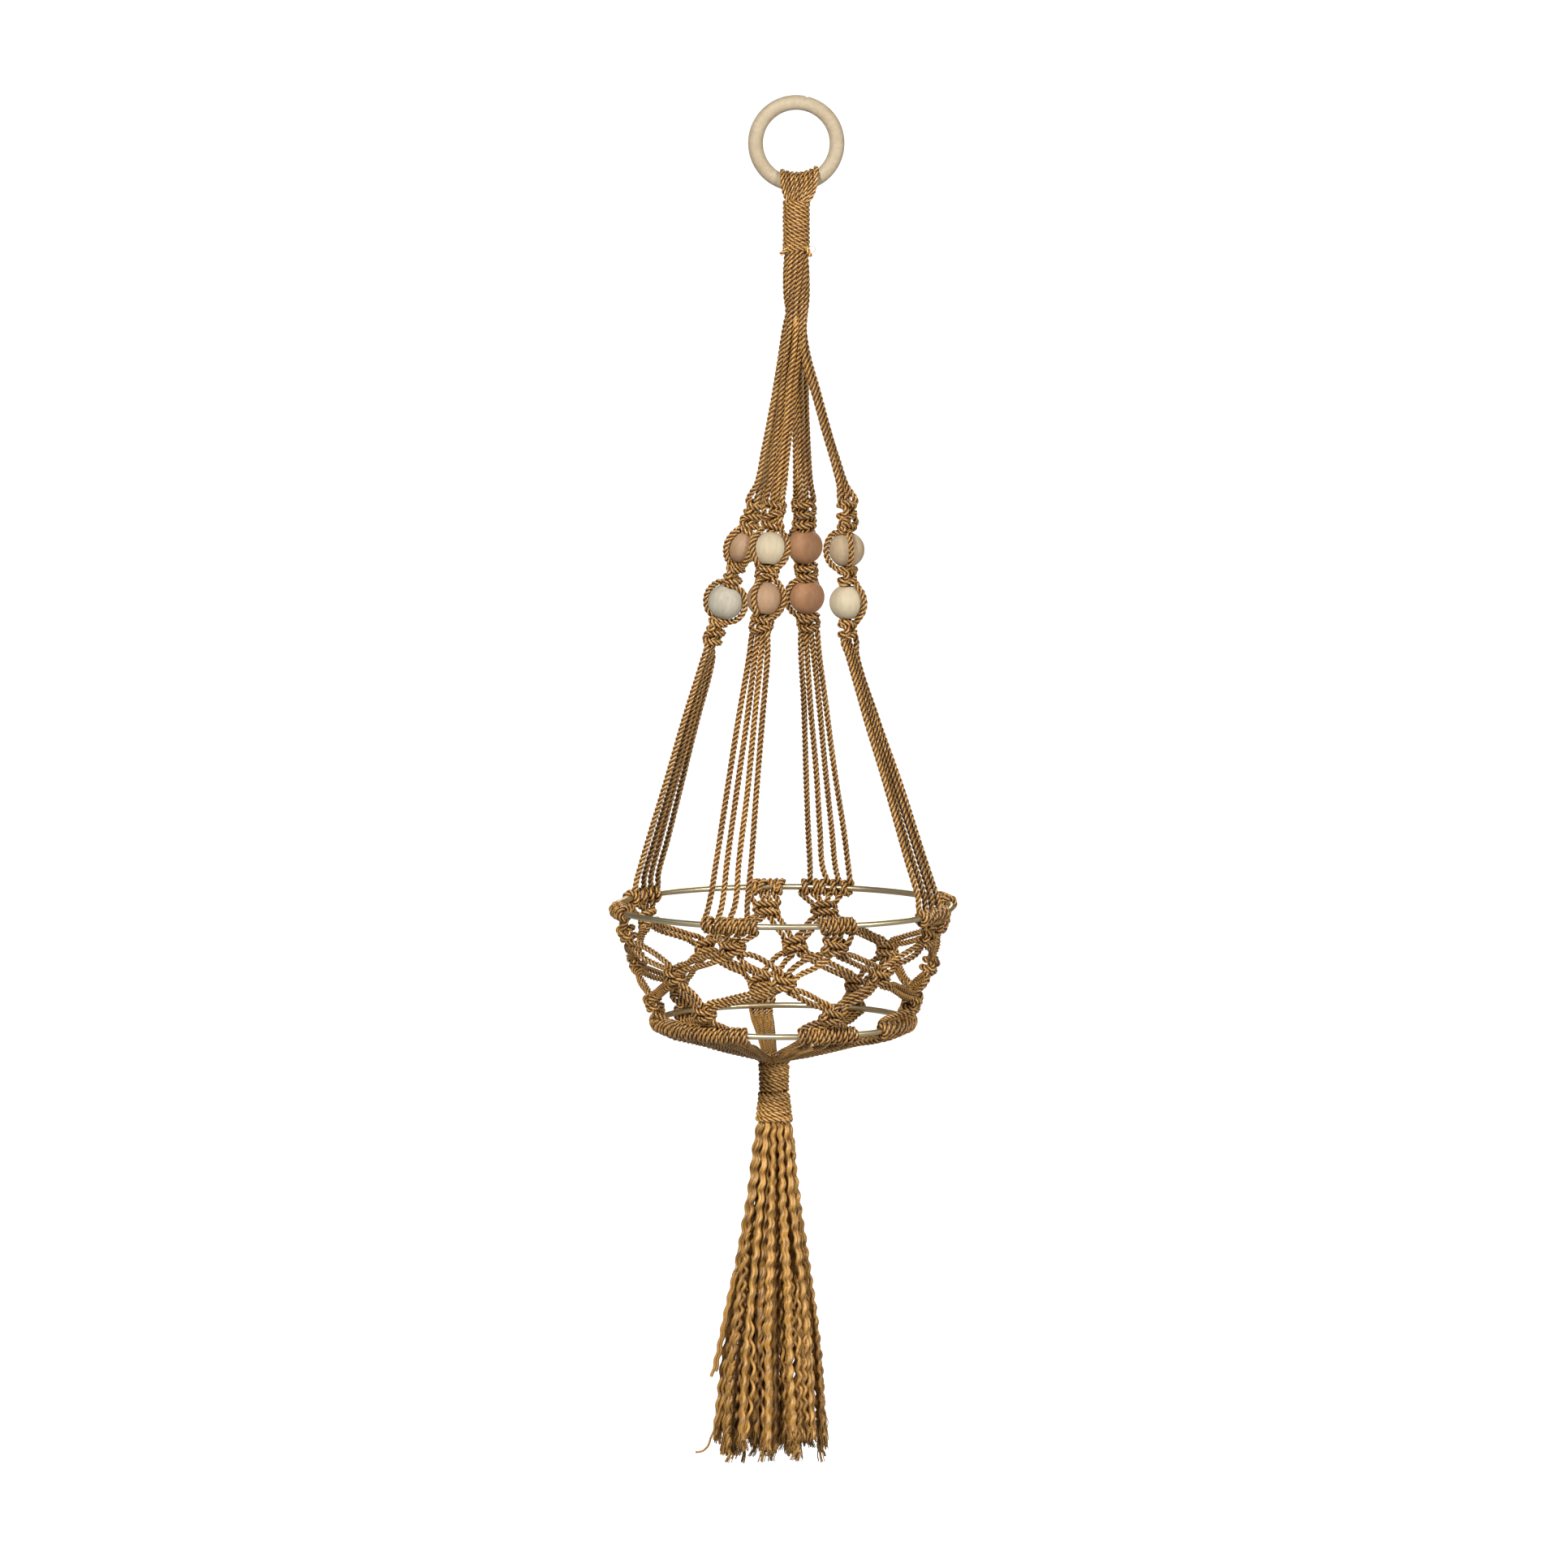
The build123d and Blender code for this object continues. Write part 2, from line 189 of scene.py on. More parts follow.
class Cordage:
    """Cords that become one piece."""

    def __init__(self):
        self.points, self.quads, self.caps = [], [], []
        self.lays, self.tones = [], []
        self.count = 0

    def add(self, skin, along, tone):
        """A stretch of cord: rings of points, the length along at each, and its tone."""
        rings, around = skin.shape[:2]
        self.points.append(skin.reshape(-1, 3))
        ring = np.arange(rings - 1)[:, None] * around + self.count
        here = ring + np.arange(around)[None, :]
        beside = ring + (np.arange(around)[None, :] + 1) % around
        quads = np.stack((here, beside, beside + around, here + around), axis=-1)
        self.quads.append(quads.reshape(-1, 4))
        low = along[:-1, None] + 0.0 * here
        high = along[1:, None] + 0.0 * here
        left = np.arange(around)[None, :] / around + 0.0 * here
        right = left + 1 / around
        corners = ((low, left), (low, right), (high, right), (high, left))
        lays = np.stack([np.stack((u / mm / 10, v), axis=-1) for u, v in corners], axis=2)
        self.lays.append(lays.reshape(-1, 2))
        self.tones.append(np.full(rings * around, tone))
        self.caps.append(self.count + np.arange(around)[::-1])
        self.caps.append(self.count + (rings - 1) * around + np.arange(around))
        self.count += rings * around

    def build(self, name, material, slot="cord"):
        """One mesh object from all the cords."""
        mesh = bpy.data.meshes.new(name)
        points = np.vstack(self.points)
        quads = np.vstack(self.quads)
        mesh.vertices.add(len(points))
        mesh.vertices.foreach_set("co", points.ravel())
        corners = np.concatenate([quads.ravel(), *self.caps])
        totals = np.array([4] * len(quads) + [len(cap) for cap in self.caps])
        starts = np.concatenate(([0], np.cumsum(totals)[:-1]))
        mesh.loops.add(len(corners))
        mesh.loops.foreach_set("vertex_index", corners)
        mesh.polygons.add(len(totals))
        mesh.polygons.foreach_set("loop_start", starts)
        mesh.polygons.foreach_set("loop_total", totals)
        mesh.polygons.foreach_set("use_smooth", np.arange(len(totals)) < len(quads))
        lay = mesh.uv_layers.new(name="lay")
        ends = np.zeros((sum(len(cap) for cap in self.caps), 2))
        lay.data.foreach_set("uv", np.vstack((*self.lays, ends)).ravel())
        tone = mesh.attributes.new("tone", "FLOAT", "POINT")
        tone.data.foreach_set("value", np.concatenate(self.tones))
        mesh.update(calc_edges=True)
        mesh.materials.append(material)
        piece = bpy.data.objects.new(name, mesh)
        bpy.context.scene.collection.objects.link(piece)
        return piece


def skin_of(line, section, radii, turned):
    """Rings of points round a line: the section at each point, sized and turned."""
    angles, reaches = section
    normals, binormals = carried_frames(line)
    turns = angles[None, :] + np.asarray(turned).reshape(-1, 1)
    thick = np.broadcast_to(np.asarray(radii, float).reshape(-1, 1), (len(line), 1))
    size = thick * reaches[None, :]
    ways = (np.cos(turns)[:, :, None] * normals[:, None, :]
            + np.sin(turns)[:, :, None] * binormals[:, None, :])
    return line[:, None, :] + size[:, :, None] * ways


def length_along(line):
    return np.concatenate(([0], np.cumsum(np.linalg.norm(np.diff(line, axis=0), axis=1))))


def laid_skin(line, radius=cord_radius):
    """A laid cord's skin, with a little play in its lay and its thickness."""
    along = length_along(line)
    lay = ply_lay * chance.uniform(0.94, 1.06)
    swell = 1 + 0.025 * np.sin(along / (9 * mm) + chance.uniform(0, 6)) * chance.uniform(0.3, 1)
    turned = chance.uniform(0, 2 * math.pi) + 2 * math.pi * along / lay
    return skin_of(line, laid_section(plies, sides_of_ply), radius * swell, turned), along


def lay_cord(cordage, points, radius=cord_radius, step=ring_gap):
    """One laid cord along a route, in one piece."""
    line = eased(points, step)
    skin, along = laid_skin(line, radius)
    cordage.add(skin, along, chance.uniform(0, 1))


class Strand:
    """One long cord that runs through several sub-parts in turn."""

    def __init__(self):
        self.points, self.parts = [], []

    def go(self, part, *points):
        for point in points:
            self.points.append(np.asarray(point, float))
            self.parts.append(part)

    def lay_into(self, cordages):
        """Lays the cord in one go, then shares it out to the sub-parts it runs through."""
        line = eased(self.points, ring_gap)
        skin, along = laid_skin(line)
        tone = chance.uniform(0, 1)
        marks = self.marks(line)
        begin = 0
        for number in range(1, len(self.points) + 1):
            if number == len(self.points) or self.parts[number] != self.parts[begin]:
                first = marks[begin]
                last = marks[number] if number < len(self.points) else len(line) - 1
                if last > first:
                    cordages.setdefault(self.parts[begin], Cordage())
                    stretch = slice(first, last + 1)
                    cordages[self.parts[begin]].add(skin[stretch], along[stretch], tone)
                begin = number

    def marks(self, line):
        """The line's point nearest to each point of the route, in order, looked for only a little ahead."""
        found, low = [], 0
        route = np.asarray(self.points)
        gaps = np.linalg.norm(np.diff(route, axis=0), axis=1)
        for number, point in enumerate(route):
            ahead = int((gaps[number - 1] if number else 0) * 1.6 / ring_gap) + 12
            window = line[low:low + ahead]
            low += int(np.argmin(np.linalg.norm(window - point, axis=1)))
            found.append(low)
        return found


# --- knots and hitches ----------------------------------------------------------------
def tie_square(strands, part, centre, right, out, upward, halves, height, slack=1.0):
    """Ties a square knot, half by half, with the outer two of four strands. A place in it is millimetres
    to the right and out, and metres up. Returns the strands in their new order from left to right."""
    left_worker, left_filler, right_filler, right_worker = strands
    step = height / halves
    over, under = left_worker, right_worker
    way = 1

    def at(x, y, z):
        return centre + right * (x * mm * slack) + out * (y * mm) + upward * z

    for filler, x in ((left_filler, -2.0), (right_filler, 2.0)):
        filler.go(part, at(x, 0, height / 2), at(x, 0.2, 0), at(x, 0, -height / 2))
    for half in range(halves):
        z = height / 2 - (half + 0.5) * step
        over.go(
            part,
            at(-way * 7.3, 0.3, z + 0.34 * step),
            at(-way * 5.2, 3.6, z + 0.24 * step),
            at(0, 4.9, z),
            at(way * 4.4, 3.5, z - 0.14 * step),
            at(way * 6.6, 0.2, z - 0.36 * step),
        )
        under.go(
            part,
            at(way * 6.9, 3.3, z + 0.22 * step),
            at(way * 7.0, -0.8, z + 0.02 * step),
            at(way * 3.6, -4.2, z),
            at(-way * 3.2, -4.2, z),
            at(-way * 5.4, -0.6, z - 0.02 * step),
            at(-way * 6.3, 3.2, z - 0.30 * step),
        )
        way = -way
    if way > 0:
        return [over, left_filler, right_filler, under]
    return [under, left_filler, right_filler, over]


def round_rod(hoop_middle, hoop_radius, turn, swing, reach):
    """A point beside a hoop's rod: swing is 90 above it, 0 outside it, -90 below it."""
    way = math.radians(swing)
    beside = outward(turn) * (hoop_radius + reach * math.cos(way))
    return hoop_middle + beside + up * (reach * math.sin(way))


def hitch(strand, part, hoop_middle, hoop_radius, turn, width, fronts):
    """Winds a strand round a hoop's rod: down its front a number of times, out below."""
    reach = hoop_rod + cord_radius * 0.96
    swing_total = 180 + 360 * (fronts - 1)
    count = int(swing_total / hitch_step)
    spread = math.degrees(width / hoop_radius)
    for number in range(count + 1):
        share = number / count
        swing = 90 - swing_total * share
        bulge = reach * (1 + 0.03 * math.sin(5 * share + turn))
        place = round_rod(hoop_middle, hoop_radius, turn + spread * (share - 0.5), swing, bulge)
        strand.go(part, place)


def coil(radius_at, low, high, pitch, centre, phase):
    """Points of a wrap: turns of cord up a standing bundle, level at both ends."""
    turns = (high - low) / pitch + 1
    count = int(turns * points_per_turn)
    points = []
    for number in range(count + 1):
        share = number / count
        angle = phase + 2 * math.pi * turns * share
        z = min(max(low + pitch * (turns * share - 0.5), low), high) + 0.12 * mm * math.sin(angle * 0.5)
        reach = radius_at((z - low) / (high - low)) * (1 + 0.012 * math.sin(angle * 0.37 + phase))
        points.append(centre + reach * np.array((math.sin(angle), -math.cos(angle), 0)) + up * z)
    return points


# --- camera, light and floor ----------------------------------------------------------
def set_up_view():
    """Camera, three lamps, soft air light and white paper below; the camera sees air and paper brighter."""
    aim = Vector((-9.1 * mm, 0, -502.6 * mm))
    distance, rise, view_width = 12.0, math.radians(6.5), 1.167
    camera = bpy.data.objects.new("camera", bpy.data.cameras.new("camera"))
    back = Vector((0, -math.cos(rise), math.sin(rise)))
    camera.location = aim + distance * back
    camera.rotation_euler = back.to_track_quat("Z", "Y").to_euler()
    camera.data.sensor_width = 36
    camera.data.lens = 36 * distance / view_width
    camera.data.clip_end = 500
    bpy.context.scene.collection.objects.link(camera)
    bpy.context.scene.camera = camera
    bpy.context.scene.view_settings.view_transform = "Standard"

    lamps = (
        ("key light", (-1.7, -3.3, 1.7), 0.6, 200.0),
        ("fill light", (2.9, -2.7, 0.3), 1.2, 112.0),
        ("rim light", (0.8, 3.0, 1.4), 1.4, 34.0),
    )
    for name, place, size, power in lamps:
        lamp = bpy.data.lights.new(name, "AREA")
        lamp.shape, lamp.size, lamp.energy = "DISK", size, power
        holder = bpy.data.objects.new(name, lamp)
        holder.location = place
        holder.rotation_euler = (Vector(place) - aim).to_track_quat("Z", "Y").to_euler()
        bpy.context.scene.collection.objects.link(holder)
    world = bpy.data.worlds.new("studio")
    bpy.context.scene.world = world
    world.use_nodes = True
    air = world.node_tree.nodes["Background"].inputs
    air["Color"].default_value = (1, 1, 1, 1)
    behind = world.node_tree.nodes.new("ShaderNodeLightPath")
    strength = world.node_tree.nodes.new("ShaderNodeMath")
    strength.operation = "MULTIPLY_ADD"
    strength.inputs[1].default_value, strength.inputs[2].default_value = 0.88, 0.12
    world.node_tree.links.new(behind.outputs["Is Camera Ray"], strength.inputs[0])
    world.node_tree.links.new(strength.outputs[0], air["Strength"])

    floor_mesh = bpy.data.meshes.new("floor")
    reach, height = 200.0, -1.25
    corners = [(x * reach, y * reach, height) for x, y in ((-1, -1), (1, -1), (1, 1), (-1, 1))]
    floor_mesh.from_pydata(corners, [], [(0, 1, 2, 3)])
    floor = bpy.data.objects.new("floor", floor_mesh)
    bpy.context.scene.collection.objects.link(floor)
    white = bpy.data.materials.new("white paper")
    white.use_nodes = True
    paper = white.node_tree.nodes["Principled BSDF"].inputs
    paper["Base Color"].default_value = (0.35, 0.35, 0.35, 1)
    paper["Roughness"].default_value = 1.0
    paper["Emission Color"].default_value = (1, 1, 1, 1)
    ray = white.node_tree.nodes.new("ShaderNodeLightPath")
    glow = white.node_tree.nodes.new("ShaderNodeMath")
    glow.operation = "MULTIPLY"
    glow.inputs[1].default_value = 1.1
    white.node_tree.links.new(ray.outputs["Is Camera Ray"], glow.inputs[0])
    white.node_tree.links.new(glow.outputs[0], paper["Emission Strength"])
    floor_mesh.materials.append(white)


set_up_view()


# --- finishes -------------------------------------------------------------------------
class Graph:
    """Short ways to add nodes to a tree."""

    def __init__(self, tree):
        self.tree = tree
        self.column = 0

    def add(self, kind, settings=None, **inputs):
        node = self.tree.nodes.new("ShaderNode" + kind)
        self.column += 190
        node.location = (self.column, 0)
        for name, value in (settings or {}).items():
            setattr(node, name, value)
        for name, value in inputs.items():
            self.feed(node.inputs[name.replace("_", " ")], value)
        return node

    def feed(self, socket, value):
        if isinstance(value, bpy.types.NodeSocket):
            self.tree.links.new(value, socket)
        else:
            socket.default_value = value

    def sum(self, operation, *values):
        node = self.add("Math", {"operation": operation})
        for socket, value in zip(node.inputs, values):
            self.feed(socket, value)
        return node.outputs[0]

    def mix(self, share, first, second, way="MIX"):
        node = self.add("Mix", {"data_type": "RGBA", "blend_type": way})
        self.feed(node.inputs[0], share)
        self.feed(node.inputs[6], first)
        self.feed(node.inputs[7], second)
        return node.outputs[2]

    def noise(self, vector, scale, detail=2.0, rough=0.5):
        node = self.add("TexNoise", Vector=vector, Scale=scale, Detail=detail, Roughness=rough)
        return node.outputs["Fac"]


def shared(name, inputs, outputs):
    """A node group with named inputs and outputs, to be filled in."""
    tree = bpy.data.node_groups.new(name, "ShaderNodeTree")
    for label, kind, default in inputs:
        socket = tree.interface.new_socket(label, in_out="INPUT", socket_type="NodeSocket" + kind)
        socket.default_value = default
    for label, kind in outputs:
        tree.interface.new_socket(label, in_out="OUTPUT", socket_type="NodeSocket" + kind)
    graph = Graph(tree)
    return graph, tree.nodes.new("NodeGroupInput").outputs, tree.nodes.new("NodeGroupOutput").inputs


def use(graph, group, **inputs):
    node = graph.add("Group")
    node.node_tree = group
    for name, value in inputs.items():
        graph.feed(node.inputs[name.replace("_", " ")], value)
    return node.outputs


def make_laid_fibres():
    """Plies with painted shade in the creases between them and fine fibres along the cord, whose bright
    streaks are partly painted highlight.
    """
    graph, given, made = shared(
        "laid fibres",
        (("Along", "Float", 0.0), ("Round", "Float", 0.0), ("Tone", "Float", 0.5), ("Plies", "Float", 3.0),
         ("Lays", "Float", 0.85), ("Depth", "Float", 1.0), ("Bright", "Color", (1, 1, 1, 1)),
         ("Deep", "Color", (0, 0, 0, 1))),
        (("Color", "Color"), ("Height", "Float"), ("Crease", "Float")),
    )
    share = graph.sum("FRACT", graph.sum("MULTIPLY", given["Round"], given["Plies"]))
    side = graph.sum("MULTIPLY", graph.sum("ABSOLUTE", graph.sum("SUBTRACT", share, 0.5)), 2.0)
    crease = graph.sum("POWER", side, 3.0)
    straight = graph.sum("MULTIPLY_ADD", given["Along"], given["Lays"], given["Round"])
    angle = graph.sum("MULTIPLY", straight, 2 * math.pi)
    vector = graph.add(
        "CombineXYZ",
        X=graph.sum("MULTIPLY", graph.sum("COSINE", angle), 5.0),
        Y=graph.sum("MULTIPLY", graph.sum("SINE", angle), 5.0),
        Z=graph.sum("MULTIPLY_ADD", given["Tone"], 40.0, graph.sum("MULTIPLY", given["Along"], 0.9)),
    ).outputs[0]
    fibre = graph.noise(vector, 1.7, 4.0, 0.7)
    patch = graph.noise(vector, 0.3, 1.0)
    # fibre streaks: the cord's own fibres, drawn with a strong contrast that also paints highlight along the
    # plies
    lit = graph.sum("MULTIPLY_ADD", graph.sum("SUBTRACT", fibre, 0.5), 2.0, 0.55)
    lit = graph.sum("MULTIPLY_ADD", graph.sum("SUBTRACT", patch, 0.5), 0.7, lit)
    lit = graph.sum("MULTIPLY_ADD", graph.sum("SUBTRACT", given["Tone"], 0.5), 0.25, lit)
    # painted shade: the creases between the plies are darkened towards the Deep colour
    lit = graph.sum("SUBTRACT", lit, graph.sum("MULTIPLY", crease, given["Depth"]))
    lit = graph.add("Clamp", Value=lit).outputs[0]
    graph.feed(made["Color"], graph.mix(lit, given["Deep"], given["Bright"]))
    graph.feed(made["Height"], graph.sum("MULTIPLY_ADD", crease, -0.5, fibre))
    graph.feed(made["Crease"], crease)
    return graph.tree


def make_wood_grain():
    """Fine grain lines, pores and slow changes of tone along a piece of raw wood."""
    graph, given, made = shared(
        "wood grain",
        (("Place", "Vector", (0, 0, 0)), ("Seed", "Float", 0.0), ("Pale", "Color", (1, 1, 1, 1)),
         ("Dark", "Color", (0, 0, 0, 1))),
        (("Color", "Color"), ("Height", "Float")),
    )
    shifted = graph.add("VectorMath", {"operation": "ADD"})
    graph.feed(shifted.inputs[0], given["Place"])
    offset = graph.add("CombineXYZ", X=given["Seed"], Y=given["Seed"], Z=given["Seed"]).outputs[0]
    graph.feed(shifted.inputs[1], offset)
    drawn = graph.add("Mapping", Vector=shifted.outputs[0])
    drawn.inputs["Scale"].default_value = (420, 420, 55)
    lines = graph.noise(drawn.outputs[0], 1.0, 5.0, 0.65)
    pores = graph.noise(drawn.outputs[0], 5.0, 2.0)
    slow = graph.add("Mapping", Vector=shifted.outputs[0])
    slow.inputs["Scale"].default_value = (60, 90, 30)
    cloud = graph.noise(slow.outputs[0], 1.0, 2.0)
    lit = graph.sum("MULTIPLY_ADD", graph.sum("SUBTRACT", lines, 0.5), 1.4, 0.62)
    lit = graph.sum("MULTIPLY_ADD", graph.sum("SUBTRACT", cloud, 0.5), 0.9, lit)
    pore = graph.sum("GREATER_THAN", pores, 0.74)
    lit = graph.sum("MULTIPLY_ADD", pore, -0.16, lit)
    lit = graph.add("Clamp", Value=lit).outputs[0]
    graph.feed(made["Color"], graph.mix(lit, given["Dark"], given["Pale"]))
    graph.feed(made["Height"], graph.sum("MULTIPLY_ADD", pore, -0.3, lines))
    return graph.tree


def linear(red, green, blue):
    """A colour as it's named on a paint card, from 0 to 255, as a shader takes it."""
    return tuple((channel / 255) ** 2.2 for channel in (red, green, blue)) + (1.0,)


def fresh(name):
    material = bpy.data.materials.new(name)
    material.use_nodes = True
    graph = Graph(material.node_tree)
    return material, graph, material.node_tree.nodes["Principled BSDF"].inputs


def make_cord_satin(name, group, ply_count, crease_shade, bright, deep, rough):
    """Laid cord, opened yarn or thread: painted shade and less gloss in the creases, fibres along the plies.
    """
    material, graph, surface = fresh(name)
    lay = graph.add("SeparateXYZ")
    graph.feed(lay.inputs[0], graph.add("UVMap", {"uv_map": "lay"}).outputs[0])
    tone = graph.add("Attribute", {"attribute_name": "tone"}).outputs["Fac"]
    look = use(graph, group, Along=lay.outputs[0], Round=lay.outputs[1], Tone=tone,
               Plies=ply_count, Depth=crease_shade, Bright=bright, Deep=deep)
    graph.feed(surface["Base Color"], look["Color"])
    graph.feed(surface["Roughness"], graph.sum("MULTIPLY_ADD", look["Crease"], 0.2, rough))
    surface["Specular IOR Level"].default_value = 0.75
    surface["Sheen Weight"].default_value = 0.06
    surface["Sheen Roughness"].default_value = 0.4
    surface["Sheen Tint"].default_value = linear(240, 205, 130)
    surface["Specular Tint"].default_value = linear(255, 243, 218)
    bump = graph.add("Bump", Height=look["Height"], Distance=0.25 * mm, Strength=0.8)
    graph.feed(surface["Normal"], bump.outputs[0])
    return material


def make_raw_wood(name, group, seed, pale, dark):
    """Sanded, unfinished wood in one pair of tones."""
    material, graph, surface = fresh(name)
    place = graph.add("TexCoord").outputs["Object"]
    look = use(graph, group, Place=place, Seed=seed, Pale=pale, Dark=dark)
    graph.feed(surface["Base Color"], look["Color"])
    surface["Roughness"].default_value = 0.62
    surface["Specular IOR Level"].default_value = 0.35
    bump = graph.add("Bump", Height=look["Height"], Distance=0.15 * mm, Strength=0.5)
    graph.feed(surface["Normal"], bump.outputs[0])
    return material


def make_satin_brass():
    """Brushed pale brass with rub marks and slow changes of tone."""
    material, graph, surface = fresh("satin brass")
    place = graph.add("TexCoord").outputs["Object"]
    drawn = graph.add("Mapping", Vector=place)
    drawn.inputs["Scale"].default_value = (60, 60, 900)
    rub = graph.noise(drawn.outputs[0], 1.0, 3.0)
    cloud = graph.noise(place, 40.0, 2.0)
    graph.feed(surface["Base Color"], graph.mix(cloud, linear(228, 214, 178), linear(206, 188, 146)))
    graph.feed(surface["Roughness"], graph.sum("MULTIPLY_ADD", rub, 0.16, 0.3))
    surface["Metallic"].default_value = 1.0
    surface["Anisotropic"].default_value = 0.3
    bump = graph.add("Bump", Height=rub, Distance=0.03 * mm, Strength=0.3)
    graph.feed(surface["Normal"], bump.outputs[0])
    return material


laid_fibres = make_laid_fibres()
wood_grain = make_wood_grain()
# deep is the colour of the painted shade in the creases and of the darkest fibres; the number after the ply
# count is how strong the painted crease shade is
cord_satin = make_cord_satin("cord satin", laid_fibres, ply_count=3.0, crease_shade=2.1,
                             bright=linear(234, 177, 95), deep=linear(56, 18, 4), rough=0.22)
# painted light: the wraps are the same cord as the rest, given a lighter colour and weaker painted crease
# shade to make up for the light their level turns catch
wrap_satin_painted_lighter = make_cord_satin("wrapped cord satin", laid_fibres, ply_count=3.0, crease_shade=1.3,
                             bright=linear(252, 196, 108), deep=linear(72, 25, 7), rough=0.22)
yarn_satin = make_cord_satin("opened yarn", laid_fibres, ply_count=1.0, crease_shade=0.4,
                             bright=linear(229, 171, 87), deep=linear(60, 21, 5), rough=0.28)
ring_beech = make_raw_wood("ring beech", wood_grain, 0.3, linear(180, 165, 139), linear(154, 134, 106))
bead_tones = {
    "bead_cream": (linear(190, 176, 148), linear(168, 150, 121)),
    "bead_pink": (linear(165, 133, 103), linear(141, 108, 79)),
    "bead_beige": (linear(178, 157, 128), linear(152, 127, 94)),
    "bead_grey": (linear(186, 178, 160), linear(152, 142, 122)),
    "bead_terracotta": (linear(166, 123, 88), linear(137, 95, 64)),
}
bead_woods = {
    slot: make_raw_wood(slot.replace("_", " ") + " wood", wood_grain, 0.7 * number, *tones)
    for number, (slot, tones) in enumerate(bead_tones.items())
}
satin_brass = make_satin_brass()
pale_thread = make_cord_satin("pale thread", laid_fibres, ply_count=1.0, crease_shade=0.2,
                              bright=linear(226, 218, 200), deep=linear(180, 166, 140), rough=0.5)


# --- the tassel's strands -------------------------------------------------------------
# rings of strands: each a count, and a radius in millimetres
tassel_rings = ((1, 0.0), (6, 4.3), (12, 8.6), (13, 12.9))
# share of the way down, and share of the spread reached there
tassel_course = ((0.0, 0.0), (0.14, 0.09), (0.32, 0.32), (0.54, 0.62), (0.77, 0.86), (1.0, 1.0))
tassel_spread = 2.15             # a strand's way out at the foot, as a multiple of its radius at the top
# millimetres
tassel_trims = (0.0, 9.0, 4.0, 14.0, 2.0, 11.0, 6.0)
strand_start = -753.0            # inside the wrap
tassel_swing_z, tassel_dome, tassel_end = -774.4, 17.5, -1004.0
base_lean, tassel_lean = -16.5, -18.7
loose_reach = 12.6               # of the loose plies from the tassel's middle, at the top
# the tuft and the long thread that stand away from the tassel's left side: route and radius
stray_plies = (
    (((-50, -10, -955), (-57, -10, -972), (-62, -10, -988), (-65, -10, -997), (-70, -10, -1003),
      (-75, -10, -1004)), 0.85),
    (((-46, -9, -868), (-53, -9, -900), (-58, -9, -925), (-63, -9, -947)), 1.3),
    (((-44, -9, -868), (-52, -10, -902), (-56, -9, -925), (-60, -9, -943)), 1.1),
)
# metres
yarn_wave = 11.5 * mm            # length of a wave that the knots left in the yarn
ply_twist = 14 * mm              # length in which an opened ply's own twist goes once round
hairs_per_strand = 54
loose_ply_count = 64
ends_per_loose_ply = 8


def tassel_routes():
    """Each strand's route: down from the wrap, spreading, and cut to a ragged end."""
    for ring, (count, radius) in enumerate(tassel_rings):
        for number in range(count):
            turn = math.radians(360 * number / count + 17 * ring)
            top = tassel_swing_z + math.sqrt(tassel_dome**2 - (radius + 2.0) ** 2)
            index = sum(size for size, _ in tassel_rings[:ring]) + number
            end = tassel_end + tassel_trims[index % len(tassel_trims)]
            inner = radius * 0.72
            start = (base_lean + inner * math.sin(turn), -inner * math.cos(turn), strand_start)
            route = [[value * mm for value in start]]
            for down, spread in tassel_course:
                reach = radius * (1 + tassel_spread * spread)
                shift = base_lean + down * (tassel_lean - base_lean)
                point = (shift + reach * math.sin(turn), -reach * math.cos(turn), top + down * (end - top))
                route.append([value * mm for value in point])
            yield route


def smooth_line(route):
    """The points of a smooth curve led by the route's points."""
    curve = bpy.data.curves.new("route", "CURVE")
    curve.dimensions = "3D"
    curve.resolution_u = 24
    spline = curve.splines.new("NURBS")
    spline.points.add(len(route) - 1)
    for point, place in zip(spline.points, route):
        point.co = (*place, 1)
    spline.order_u = 3
    spline.use_endpoint_u = True
    holder = bpy.data.objects.new("route", curve)
    mesh = bpy.data.meshes.new_from_object(holder)
    line = np.array([vertex.co for vertex in mesh.vertices])
    bpy.data.objects.remove(holder)
    bpy.data.curves.remove(curve)
    bpy.data.meshes.remove(mesh)
    return line


round_section = (np.linspace(0, 2 * math.pi, 8, endpoint=False), np.ones(8))
fibre_section = (np.linspace(0, 2 * math.pi, 3, endpoint=False), np.ones(3))


